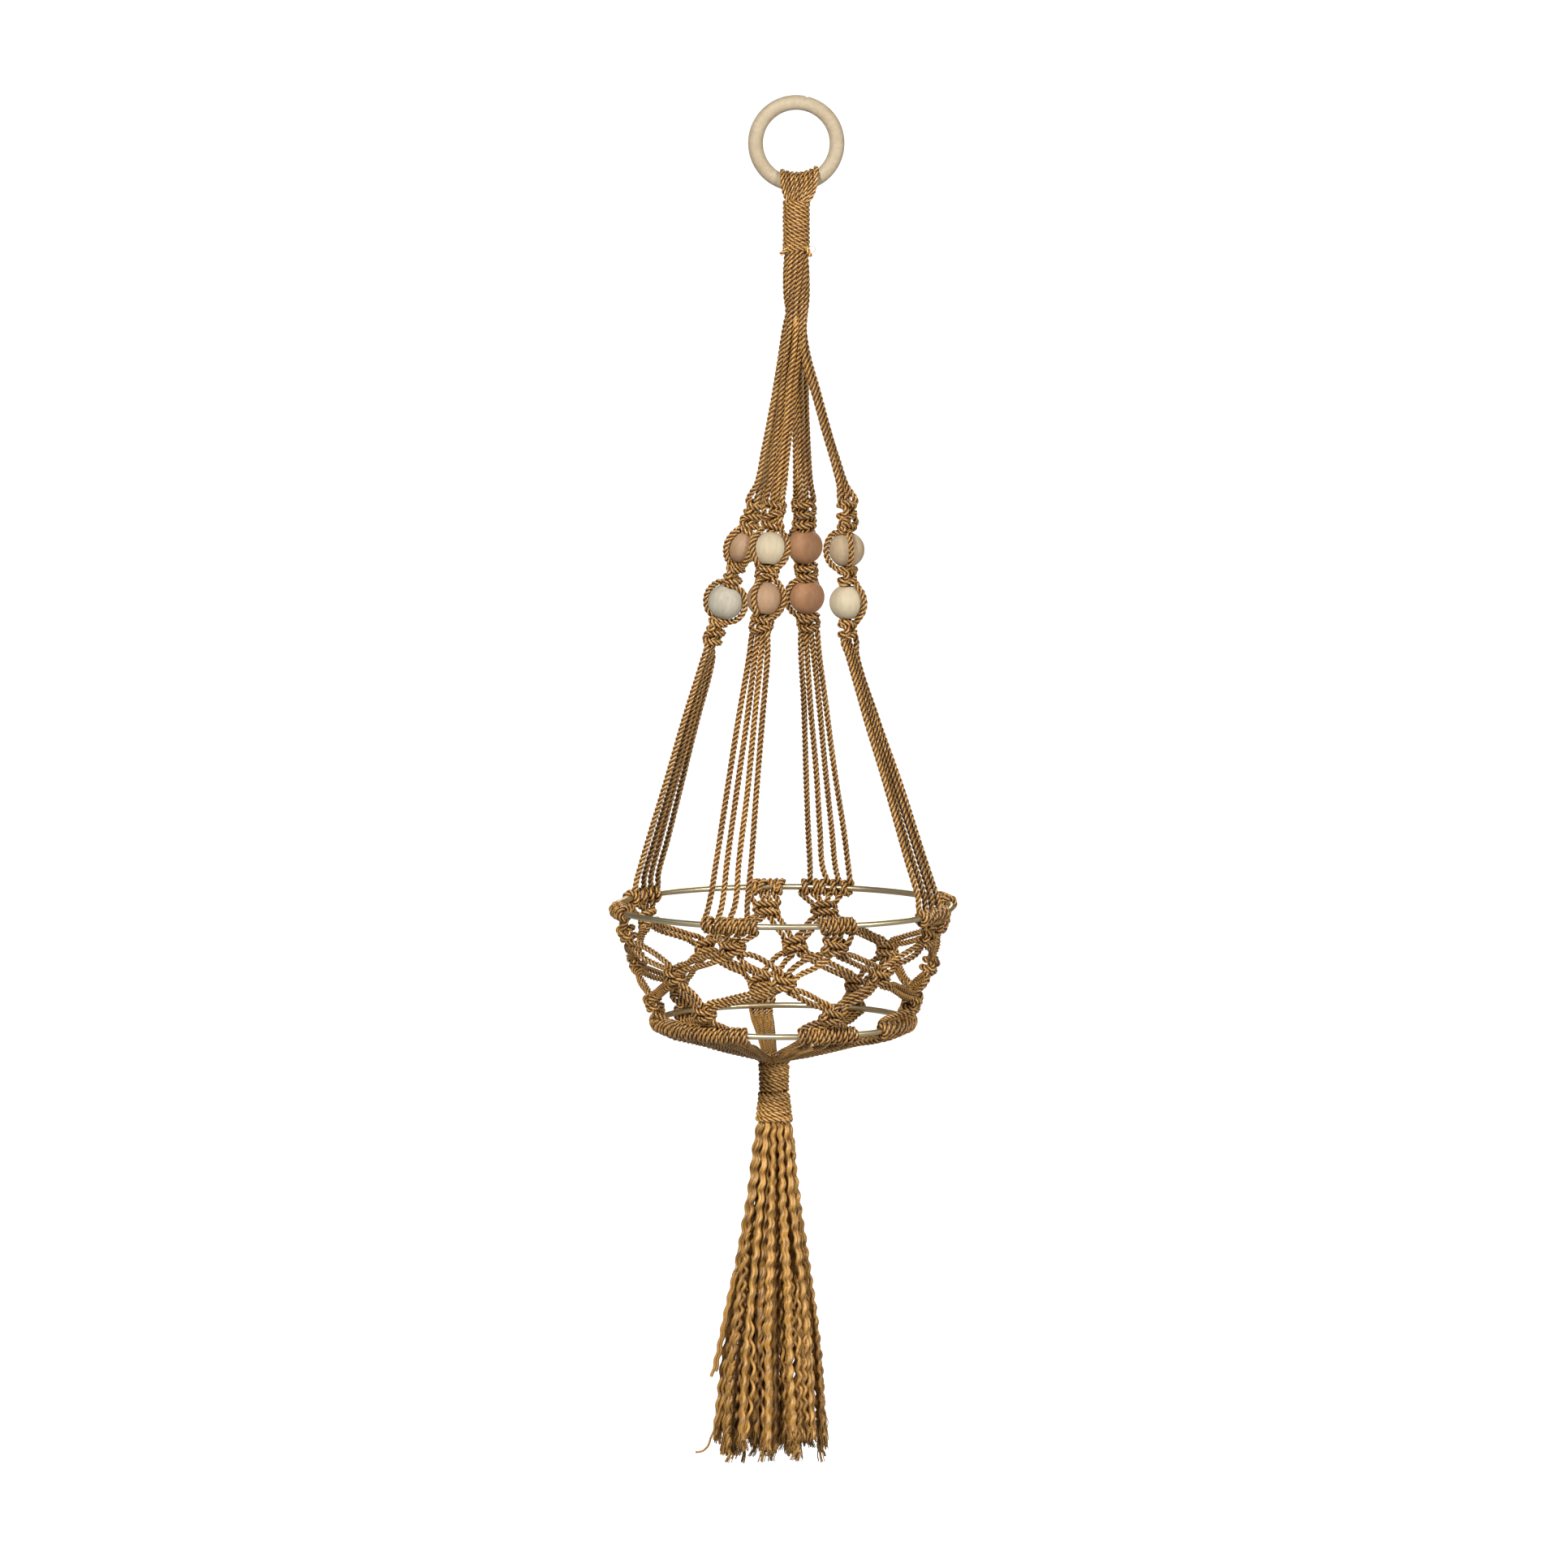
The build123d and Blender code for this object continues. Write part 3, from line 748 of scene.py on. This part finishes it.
def make_tassel():
    """Strands of three opened plies each, that share a wave and fray at the foot."""
    for number, route in enumerate(tassel_routes()):
        path = smooth_line(route)
        line = evenly(path, 0.9 * mm)
        along = length_along(line)
        share = along / along[-1]
        normals, binormals = carried_frames(line)
        wave = yarn_wave * chance.uniform(0.9, 1.25)
        phase = chance.uniform(0, 2 * math.pi)
        sway = 0.22 * mm * np.sin(along / (31 * mm) + chance.uniform(0, 6))
        tone = chance.uniform(0, 1)
        strand = Cordage()
        swing = 2 * math.pi * along / wave + 0.5 * np.sin(along / (19 * mm) + phase)
        for offset, thick, reach in ((0.0, 1.75, 1.1), (2.2, 1.65, 1.2), (4.3, 1.6, 1.25)):
            drift = chance.uniform(0, 6, 2)
            angle = phase + offset + 1.1 * np.sin(along / (41 * mm) + drift[0]) + 0.8 * share
            loose = reach * mm * (0.72 + 0.66 * share)
            core = (line + (np.cos(angle) * loose + sway + 0.72 * mm * np.cos(swing))[:, None] * normals
                    + (np.sin(angle) * loose + 0.72 * mm * np.sin(swing))[:, None] * binormals)
            slim = 1 - 0.14 * (1 - share) ** 2
            radii = thick * mm * (1 + 0.08 * np.sin(along / (7 * mm) + drift[1])) * slim
            radii[-3:] *= (0.97, 0.9, 0.72)
            trim = int(chance.integers(1, 9))
            turned = 2 * math.pi * along / ply_twist
            skin = skin_of(core, round_section, radii, turned)
            strand.add(skin[:-trim], along[:-trim], tone + chance.uniform(-0.2, 0.2))
        for fibre in range(hairs_per_strand):
            stray = fibre % 3 == 0
            start = chance.uniform(0.2, 0.85) if stray else chance.uniform(0.84, 0.95)
            chosen = np.flatnonzero((share >= start) & (share <= (start + 0.15 if stray else 1)))
            out = chance.uniform(0.8, 2.0) * mm
            angle = chance.uniform(0, 2 * math.pi)
            bend = (share[chosen] - start) / (share[chosen[-1]] - start)
            spread = chance.uniform(0.6, 1.9) * mm + out * bend**1.5
            curl = angle + chance.uniform(-1.5, 1.5) * bend
            core = (line[chosen] + (np.cos(curl) * spread)[:, None] * normals[chosen]
                    + (np.sin(curl) * spread)[:, None] * binormals[chosen])
            core = core - up * (chance.uniform(-3.0, 1.5) * mm * bend)[:, None]
            hair = skin_of(core, fibre_section, (0.17 if stray else 0.4) * mm, 0.0)
            strand.add(hair, along[chosen], chance.uniform(0, 1))
        piece = strand.build(f"tassel_strand_{number + 1}", yarn_satin)
        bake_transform(piece)
        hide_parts("tassel")


def make_loose_plies():
    """Plies and hairs that have worked loose and fill the tassel between its strands."""
    fluff = Cordage()
    top, bottom = -0.792, tassel_end * mm - 2.0 * mm
    for number in range(loose_ply_count):
        ring = math.sqrt(chance.uniform(0.02, 1.0)) * loose_reach
        turn = 2.4 * number + chance.uniform(-0.3, 0.3)
        start = top - chance.uniform(0.0, 0.1)
        end = bottom + chance.uniform(-5.0, 20.0) * mm
        z = np.linspace(start, end, int((start - end) / (1.5 * mm)))
        crown = (tassel_swing_z + tassel_dome) * mm
        down = (z - crown) / (end - crown)
        spread = np.interp(down, [share for share, _ in tassel_course], [out for _, out in tassel_course])
        reach = ring * mm * (1 + tassel_spread * spread)
        sway = turn + 0.09 * np.sin(z / (23 * mm) + chance.uniform(0, 6))
        lean = (base_lean + (tassel_lean - base_lean) * down) * mm
        wave, phase = yarn_wave * chance.uniform(0.8, 1.5), chance.uniform(0, 6)
        hair = number % 4 == 3
        sweep = (0.6 if hair else 1.1) * mm
        swing = 2 * math.pi * z / wave + phase
        core = np.stack((lean + reach * np.sin(sway) + sweep * np.cos(swing),
                         -reach * np.cos(sway) + sweep * np.sin(swing), z), axis=1)
        radii = np.full(len(z), 0.25 * mm if hair else chance.uniform(1.2, 1.6) * mm)
        radii *= np.clip((start - z) / (14 * mm), 0.15, 1)
        radii[-4:] *= (0.96, 0.9, 0.78, 0.55)
        tone = chance.uniform(0, 1)
        skin = skin_of(core, fibre_section if hair else round_section, radii, 2 * math.pi * z / ply_twist)
        fluff.add(skin, length_along(core), tone)
        for _ in range(ends_per_loose_ply):
            first = int(len(core) * chance.uniform(0.7, 0.93))
            bend = np.linspace(0, 1, len(core) - first)
            angle = chance.uniform(0, 2 * math.pi)
            out = (0.5 + chance.uniform(1.0, 3.2) * bend**1.4) * mm
            away = np.stack((np.cos(angle) * out, np.sin(angle) * out, -3.0 * mm * bend**2), axis=1)
            ends = core[first:] + away
            fluff.add(skin_of(ends, fibre_section, 0.38 * mm, 0.0), length_along(ends), tone)
    for route, thick in stray_plies:
        line = eased(np.array(route) * mm, 0.8 * mm)
        line[:, 0] += 0.5 * mm * np.sin(line[:, 2] / (1.9 * mm)) * min(thick, 1)
        fluff.add(skin_of(line, round_section, thick * mm, 0.0), length_along(line), 0.6)
    piece = fluff.build("tassel_loose_plies", yarn_satin)
    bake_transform(piece)


make_tassel()
make_loose_plies()


# --- the cords of the straps, the net and the base ------------------------------------
bead_reach = 13.3 * mm
strap_knots = {"front": 14.0, "right": 14.0, "back": 14.0, "left": 22.0}
upper_knot_height = 24.0 * mm
strand_gaps = [4.2 * mm * step for step in (-1.5, -0.5, 0.5, 1.5)]
bow = 15.7 * mm
neck_leave = {"front": -0.172, "right": -0.180, "back": -0.170, "left": -0.158}
# a strand's direction in its quarter of the neck, and its distance from the middle in millimetres
bundle_turns = (-31.0, -1.0, 8.0, 29.0)
bundle_rings = (7.7, 7.8, 3.2, 7.7)
# directions of the two cords that bow round each bead, upper and lower
bead_bows = {"front": ((-57, 60), (-32, 68)), "right": ((-80, 12), (200, 55)),
             "back": ((-135, 155), (-80, 150)), "left": ((-57, 22), (-112, 72))}
coil_pitch = 4.4 * mm
strap_row, net_cord_row = 41.0 * mm, 28.0 * mm     # widths of the rows of hitches on the upper hoop
knob_gap = 1.6 * mm              # between the front strap's first hitch and the rest
top_row, mid_row, low_row = -610.5 * mm, -637.0 * mm, -664.0 * mm
upper_slack = {"front": 1.0, "right": 1.2, "back": 1.05, "left": 1.15}
net_knot = 12.5 * mm
quarters = ("front", "front", "right", "right", "back", "back", "left", "left")
cordages = {}
base = np.array((base_lean * mm, 0, 0))


def jitter(size):
    """A small shift by chance, up to a size in millimetres."""
    return chance.uniform(-size, size, 3) * mm


def neck_points(number, index, knot_top, right, out):
    """A strand's way down the neck's bundle and on to its strap's first knot."""
    side = sides[number]
    angle = -15.0 + 90.0 * number + bundle_turns[index]
    ring = bundle_rings[index] * mm
    points = []
    for z, tight, twist in ((-0.096, 0.72, 62.0), (-0.106, 0.86, 50.0), (-0.122, 1.0, 34.0),
                            (-0.140, 0.97, 16.0)):
        points.append(outward(angle + twist) * ring * tight + up * z + jitter(0.25))
    leave = outward(strap_turns[side]) * 6.6 * mm + up * neck_leave[side]
    for share in (0.0, 0.25, 0.5, 0.72, 0.9):
        flat = 0.62 + 0.38 * share**2
        deep = (1.7, -1.6, 1.6, -1.7)[index] * mm * (1 - share)
        points.append(leave + (knot_top - leave) * share + right * strand_gaps[index] * flat + out * deep
                      + jitter(0.4))
    return points


def lay_strap(number, side):
    """The four strands of a strap, from the neck to the hitches on the upper hoop."""
    upper, lower = middle(f"upper_bead_{side}"), middle(f"lower_bead_{side}")
    line = (upper - lower) / np.linalg.norm(upper - lower)
    level = across(strap_turns[side])
    right = level - line * (level @ line)
    right /= np.linalg.norm(right)
    out = np.cross(right, line)
    strands = [Strand() for _ in range(4)]

    knot_top = upper + line * (bead_reach + upper_knot_height)
    for index, strand in enumerate(strands):
        strand.go(f"upper_cords_{side}", *neck_points(number, index, knot_top, right, out))
    centre = upper + line * (bead_reach + upper_knot_height / 2)
    strands = tie_square(strands, f"upper_knot_{side}", centre, right, out, line, 3, upper_knot_height,
                         slack=upper_slack[side])

    def round_bead(strands, bead, turns):
        for strand, turn in zip((strands[0], strands[3]), turns):
            side_way = outward(turn) - line * (line @ outward(turn))
            side_way /= np.linalg.norm(side_way)
            for angle in (52, 28, 0, -28, -52):
                lift = math.radians(angle)
                strand.go(f"bead_cords_{side}",
                          bead + side_way * bow * math.cos(lift) + line * bow * math.sin(lift) + jitter(0.2))
        for strand, x in ((strands[1], -2.0), (strands[2], 2.0)):
            for z in (10, 0, -10):
                strand.go(f"bead_cords_{side}", bead + right * (x * mm) + line * (z * mm))

    round_bead(strands, upper, bead_bows[side][0])
    gap = np.linalg.norm(upper - lower) - 2 * bead_reach
    strands = tie_square(strands, f"middle_knot_{side}", (upper + lower) / 2, right, out, line, 2, gap)
    round_bead(strands, lower, bead_bows[side][1])
    height = strap_knots[side] * mm
    centre = lower - line * (bead_reach + height / 2)
    halves = 3 if height > 20 * mm else 2
    strands = tie_square(strands, f"lower_knot_{side}", centre, right, out, line, halves, height)

    turn = strap_turns[side]
    on_hoop = upper_middle + outward(turn) * upper_radius
    start = lower - line * (bead_reach + height)
    for index, strand in enumerate(strands):
        offset = right * strand_gaps[index]
        first = start + offset
        last = on_hoop + level * ((index - 1.5) * strap_row / 4 - 3.3 * mm) + up * (hoop_rod + cord_radius)
        for share in (0.06, 0.3, 0.55, 0.8, 0.95):
            place = first + (last - first) * share + jitter(0.7 * math.sin(3 * share))
            strand.go(f"strap_cords_{side}", place)
    first = turn - math.degrees(strap_row / 2 / upper_radius)
    hitch_row(strands, [f"strap_hitches_{side}"] * 4, upper_middle, upper_radius, first, strap_row,
              aside=knob_gap if side == "front" else 0.0)
    return strands


def hitch_row(strands, parts, hoop_middle, hoop_radius, first, width, aside=0.0):
    """Hitches a row of strands to a hoop side by side, from one direction on. The first may sit aside."""
    wraps = max(len(strands), round(width / coil_pitch))
    marks = [round(wraps * index / len(strands)) for index in range(len(strands) + 1)]
    pitch = width / wraps
    for index, (strand, part) in enumerate(zip(strands, parts)):
        fronts = marks[index + 1] - marks[index]
        middle_at = (marks[index] + marks[index + 1]) / 2 * pitch
        turn = first + math.degrees((middle_at - (0 if index else aside)) / hoop_radius)
        hitch(strand, part, hoop_middle, hoop_radius, turn, pitch * (fronts - 0.5), fronts)


def fold_round_hoop(strands, first, width):
    """Starts each two strands as one cord, folded in half behind the hoop."""
    reach = hoop_rod + cord_radius
    step = math.degrees(width / 4 / upper_radius)
    for index, strand in enumerate(strands):
        fold = first + step * (1 + 2 * (index // 2))
        way = -1 if index % 2 == 0 else 1
        for turn, swing in ((fold, 205), (fold + 0.16 * way * step, 185), (fold + 0.45 * way * step, 140)):
            strand.go("net_cord_hitches", round_rod(upper_middle, upper_radius, turn, swing, reach))


def net_place(turn, z):
    """A point of the net's cone between the hoops."""
    share = (upper_middle[2] - z) / (upper_middle[2] - lower_middle[2])
    radius = upper_radius + share * (lower_radius - upper_radius)
    return np.array((upper_middle[0], 0, 0)) + outward(turn) * radius + up * z


def tie_net(strands, number, turn, z):
    """Ties one knot of the net, a little off its place and its slant. Those of the top row are fuller."""
    centre = net_place(turn, z)
    slope = net_place(turn, z + 10 * mm) - centre
    upward = slope / np.linalg.norm(slope)
    right = across(turn)
    out = np.cross(right, upward)
    part = f"net_{quarters[number]}"
    centre = centre + out * chance.uniform(-0.5, 1.0) * mm
    tilt = math.radians(chance.uniform(-8, 8))
    right, upward = (right * math.cos(tilt) + upward * math.sin(tilt),
                     upward * math.cos(tilt) - right * math.sin(tilt))
    slack = 1.22 if z > mid_row + 1 * mm else 1.08
    return tie_square(strands, part, centre, right, out, upward, 2, net_knot, slack=slack)


def run_pair(pair, number, from_turn, from_z, to_turn, to_z, apart):
    """Takes two strands side by side from one knot of the net to the next."""
    turned = (to_turn - from_turn + 180) % 360 - 180
    way = math.copysign(1, turned)
    start = net_place(from_turn, from_z) + across(from_turn) * way * 5 * mm - up * 6 * mm
    end = net_place(to_turn, to_z) - across(to_turn) * way * 5 * mm + up * 6 * mm
    out = outward(from_turn + turned / 2)
    span = end - start
    side = np.cross(out, span)
    side /= np.linalg.norm(side)
    if side @ across(from_turn) < 0:
        side = -side
    for strand, sign in zip(pair, (-1, 1)):
        lift = chance.uniform(-0.6, 1.4) * mm
        for share, width in ((0.22, 0.85), (0.5, 1.0), (0.78, 0.85)):
            bulge = out * (lift + 1.5 * mm * math.sin(math.pi * share))
            strand.go(f"net_{quarters[number]}",
                      start + span * share + side * (sign * apart / 2 * width) + bulge + jitter(0.35))


def lay_net(on_top):
    """Ties the net's three rows of knots and returns the strands that leave its lowest row."""
    top = [tie_net(on_top[number], number, top_knots[number], top_row) for number in range(8)]
    mid, low = [], []
    for number in range(8):
        after = (number + 1) % 8
        pairs = (top[number][2:], top[after][:2])
        for pair, turn in zip(pairs, (top_knots[number], top_knots[after])):
            apart = chance.choice((4.4, 4.5, 5.5, 8.5)) * mm
            run_pair(pair, number, turn, top_row, mid_knots[number], mid_row, apart)
        mid.append(tie_net([*pairs[0], *pairs[1]], number, mid_knots[number], mid_row))
    for number in range(8):
        after = (number + 1) % 8
        pairs = (mid[number][2:], mid[after][:2])
        for pair, turn in zip(pairs, (mid_knots[number], mid_knots[after])):
            apart = chance.choice((4.4, 4.5, 5.0, 8.0)) * mm
            run_pair(pair, number, turn, mid_row, low_knots[number], low_row, apart)
        low.append(tie_net([*pairs[0], *pairs[1]], number, low_knots[number], low_row))
    return low


def lay_under(strand, group, index):
    """Takes a strand from the lower hoop to the gather and into the wrap."""
    mean = sum(turn - 45 * number for number, turn in enumerate(low_knots)) / 8
    end_turn = mean + 45 * group + (index - 1.5) * 360 / 32
    near = outward(end_turn)
    start = strand.points[-1]
    ring = (7.6, 4.2, 7.4, 4.6)[index] * mm
    rim = base + near * 11.5 * mm + up * -708.0 * mm
    drop = start + (rim - start) * 0.07 - up * 1.5 * mm
    part = f"under_cords_{quarters[group]}"
    strand.go(part, drop)
    for share in (0.3, 0.55, 0.8):
        sag = up * (-0.6 * mm * math.sin(math.pi * share))
        strand.go(part, start + (rim - start) * share + sag + jitter(0.4))
    strand.go(part, rim)
    for reach, z in ((ring + 1.5 * mm, -711.2), (ring * 0.95, -715), (ring * 0.85, -724), (ring, -757)):
        strand.go(part, base + near * reach + up * z * mm)


def lay_cords():
    """Lays all the cords, from the neck through knots, hitches and net into the gather."""
    on_top = {}
    for number, side in enumerate(sides):
        on_top[strap_turns[side]] = lay_strap(number, side)
    for turn in net_cord_turns:
        strands = [Strand() for _ in range(4)]
        first = turn - math.degrees(net_cord_row / 2 / upper_radius)
        fold_round_hoop(strands, first, net_cord_row)
        hitch_row(strands, ["net_cord_hitches"] * 4, upper_middle, upper_radius, first, net_cord_row)
        on_top[turn] = strands
    low = lay_net([on_top[turn] for turn in top_knots])
    for first, last, groups in base_rows:
        strands = [strand for group in groups for strand in low[group]]
        name = "base_hitches_back" if 120 < (first % 360) < 240 else "base_hitches_front"
        width = math.radians(last - first) * lower_radius
        hitch_row(strands, [name] * len(strands), lower_middle, lower_radius, first, width)
    for group, strands in enumerate(low):
        for index, strand in enumerate(strands):
            lay_under(strand, group, index)
    for group in low:
        for strand in group:
            strand.lay_into(cordages)


lay_cords()
for part, cordage in cordages.items():
    piece = cordage.build(f"laid_{part}", cord_satin)
    if part.startswith("upper_cords"):
        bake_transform(piece)
        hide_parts(part, "neck_cords")
    elif part.startswith("under_cords"):
        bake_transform(piece)
        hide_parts(part, "gathered_cords")
    elif part.startswith("base_hitches"):
        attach(piece, "basket_base")
        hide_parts(part)
    else:
        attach(piece, "hanger")
        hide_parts(part)
        if part.startswith("net_") and part != "net_cord_hitches":
            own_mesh(piece)


# --- wraps and ring loops -------------------------------------------------------------
def add_piece(name, cordage, body, node, material):
    piece = cordage.build(name, material)
    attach(piece, body)
    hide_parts(node)
    return piece


def make_head():
    """The cords folded over the ring, the wrap that binds them with its cut ends, and a loose thread."""
    loop_pitch, loops_aside, row_reach = 3.55 * mm, 2.1 * mm, 12.4 * mm
    # a loop's leg from the wrap up to the ring: share of its place in the row, then millimetres out and up
    loop_leg = ((0.30, 2.2, -90), (0.32, 3.0, -76), (0.42, 4.4, -70.5), (0.66, 6.4, -66), (0.86, 7.4, -60.5))
    loops = Cordage()
    for number in range(8):
        x = (number - 3.5) * loop_pitch + loops_aside
        tube_z = ring_middle[2] - math.sqrt(ring_radius**2 - x**2)
        reach = ring_stock + 1.95 * mm
        room = 1.7 * mm * (x / row_reach) ** 2
        front, back = ([np.array((x * wide, side * y * mm, z * mm)) for wide, y, z in loop_leg]
                       for side in (-1, 1))
        arc = [np.array((x, -(reach + room) * math.cos(math.radians(angle)),
                         tube_z + (reach + room / 4) * math.sin(math.radians(angle))))
               for angle in (10, 45, 90, 135, 170)]
        lay_cord(loops, [*front, *arc, *back[::-1]], radius=1.85 * mm)
    add_piece("laid_ring_loops", loops, "head", "ring_loops", cord_satin)
    wrap = Cordage()
    turns = coil(lambda share: 8.25 * mm, -103.0 * mm, -68.7 * mm, 3.42 * mm, 0 * up, 2.4)
    lay_cord(wrap, turns, radius=2.05 * mm)
    for stub in (((-5, -5, -101), (-8.6, -6.4, -104.4), (-11.8, -6.8, -106.8)),
                 ((6.5, -5, -101), (9.4, -6.6, -105.0), (10.6, -7.0, -108.6))):
        lay_cord(wrap, np.array(stub) * mm, radius=1.7 * mm)
    add_piece("laid_top_wrap", wrap, "head", "top_wrap", wrap_satin_painted_lighter)
    thread = Cordage()
    loop = ((8.6, -6.2, -103.2), (11.2, -7.0, -100.6), (13.6, -7.4, -101.6), (13.4, -7.2, -104.6),
            (11.2, -7.0, -106.0), (8.8, -6.4, -104.0))
    line = eased(np.array(loop) * mm, 0.4 * mm)
    thread.add(skin_of(line, round_section, 0.3 * mm, 0.0), length_along(line), 1.0)
    piece = thread.build("loose_thread", pale_thread)
    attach(piece, "head")


def make_tail():
    """The two wraps between the basket and the tassel."""
    wrap = Cordage()
    turns = coil(lambda share: (9.3 + 0.4 * share) * mm, -731.6 * mm, -713.8 * mm, 3.6 * mm, base, 1.0)
    lay_cord(wrap, turns, radius=2.15 * mm)
    add_piece("laid_bottom_wrap", wrap, "tassel_head", "bottom_wrap", wrap_satin_painted_lighter)
    wrap = Cordage()
    turns = coil(lambda share: (12.0 - 2.0 * share) * mm, -754.4 * mm, -735.4 * mm, 3.7 * mm, base, 0.4)
    lay_cord(wrap, turns, radius=2.2 * mm)
    add_piece("laid_tassel_wrap", wrap, "tassel_head", "tassel_wrap", wrap_satin_painted_lighter)


make_head()
make_tail()


# --- wood and metal -------------------------------------------------------------------
def surface_piece(name, grid, closed_rows, closed_columns, material, slot):
    """A smooth surface through a grid of points."""
    rows, columns = grid.shape[:2]
    faces = []
    for row in range(rows if closed_rows else rows - 1):
        for column in range(columns if closed_columns else columns - 1):
            after, beside = (row + 1) % rows, (column + 1) % columns
            faces.append((row * columns + column, row * columns + beside,
                          after * columns + beside, after * columns + column))
    mesh = bpy.data.meshes.new(name)
    mesh.from_pydata(grid.reshape(-1, 3).tolist(), [], faces)
    mesh.shade_smooth()
    mesh.materials.append(material)
    piece = bpy.data.objects.new(name, mesh)
    bpy.context.scene.collection.objects.link(piece)
    return piece


def make_beads():
    """Turned beads with a drilled bore and a softened lip at each end of it."""
    bead_slots = {
        "upper_bead_front": "bead_cream", "lower_bead_front": "bead_pink",
        "upper_bead_right": "bead_beige", "lower_bead_right": "bead_cream",
        "upper_bead_back": "bead_terracotta", "lower_bead_back": "bead_terracotta",
        "upper_bead_left": "bead_pink", "lower_bead_left": "bead_grey",
    }
    radius, bore, edge = 13.2 * mm, 4.7 * mm, 0.8 * mm
    for node, slot in bead_slots.items():
        profile = []
        top = math.degrees(math.acos((bore + edge) / radius))
        for angle in np.linspace(-top, top, 41):
            turn = math.radians(angle)
            profile.append((radius * math.cos(turn), radius * math.sin(turn)))
        rim = profile[-1][1]
        lip = [(bore + edge * (1 - share), rim - edge * (1 - math.sqrt(1 - (1 - share) ** 2 * 0.99)))
               for share in (0.35, 0.7, 1.0)]
        profile += lip + [(bore, 0.0)] + [(reach, -z) for reach, z in lip[::-1]]
        angles = np.linspace(0, 2 * math.pi, 56, endpoint=False)
        grid = np.array([[(reach * math.cos(turn), reach * math.sin(turn), z) for turn in angles]
                         for reach, z in profile])
        bead = surface_piece(f"turned_{node}", grid[:, ::-1], True, True, bead_woods[slot], slot)
        side = node.split("_")[-1]
        line = Vector(middle(f"upper_bead_{side}") - middle(f"lower_bead_{side}"))
        bead.rotation_euler = line.to_track_quat("Z", "Y").to_euler()
        bead.location = middle(node)
        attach(bead, node)
        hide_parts(node)


def torus_grid(radius, stock, turns, across_count):
    """Points of a bent round bar, by direction round the ring and round the bar."""
    swings = np.linspace(0, 2 * math.pi, across_count, endpoint=False)
    reach = radius + stock * np.cos(swings)[None, :]
    return np.stack((reach * np.sin(turns)[:, None], -reach * np.cos(turns)[:, None],
                     stock * np.sin(swings)[None, :] + 0 * turns[:, None]), axis=-1)


def make_ring():
    """A round bar of wood bent to a ring, with its slanted glue line and a small chip at the joint."""
    turns = np.linspace(0, 360, 180, endpoint=False)
    turns = np.radians(np.sort(np.concatenate((turns, np.linspace(164.1, 179.1, 61)))))
    grid = torus_grid(ring_radius, ring_stock, turns, 36)
    centre = ring_radius * np.stack((np.sin(turns), -np.cos(turns), 0 * turns), axis=-1)[:, None, :]
    swings = np.linspace(0, 2 * math.pi, 36, endpoint=False)
    joint_turn = np.radians(180 - 8.2 - 4.7 * np.cos(swings))
    off = (turns[:, None] - joint_turn[None, :]) * ring_radius
    groove = 0.22 * mm * np.exp(-((off / (0.35 * mm)) ** 2))
    nick = 1.0 * mm * np.exp(-((off / (0.8 * mm)) ** 2)) * np.clip(np.cos(swings), 0, 1)[None, :] ** 6
    grid = grid - (grid - centre) / ring_stock * (groove + nick)[:, :, None]
    ring = surface_piece("turned_wooden_ring", grid, True, True, ring_beech, "ring_wood")
    ring.rotation_euler = (math.radians(90), 0, 0)
    ring.location = ring_middle
    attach(ring, "ring")
    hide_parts("wooden_ring")


def make_hoop(node, centre, radius, body):
    """A closed hoop of round brass rod."""
    turns = np.linspace(0, 2 * math.pi, 260, endpoint=False)
    grid = torus_grid(radius, hoop_rod, turns, 18)
    hoop = surface_piece(f"bent_{node}", grid, True, True, satin_brass, "hoop_metal")
    hoop.location = centre
    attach(hoop, body)
    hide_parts(node)


make_beads()
make_ring()
make_hoop("upper_hoop", upper_middle, upper_radius, "hanger")
make_hoop("lower_hoop", lower_middle, lower_radius, "basket_base")
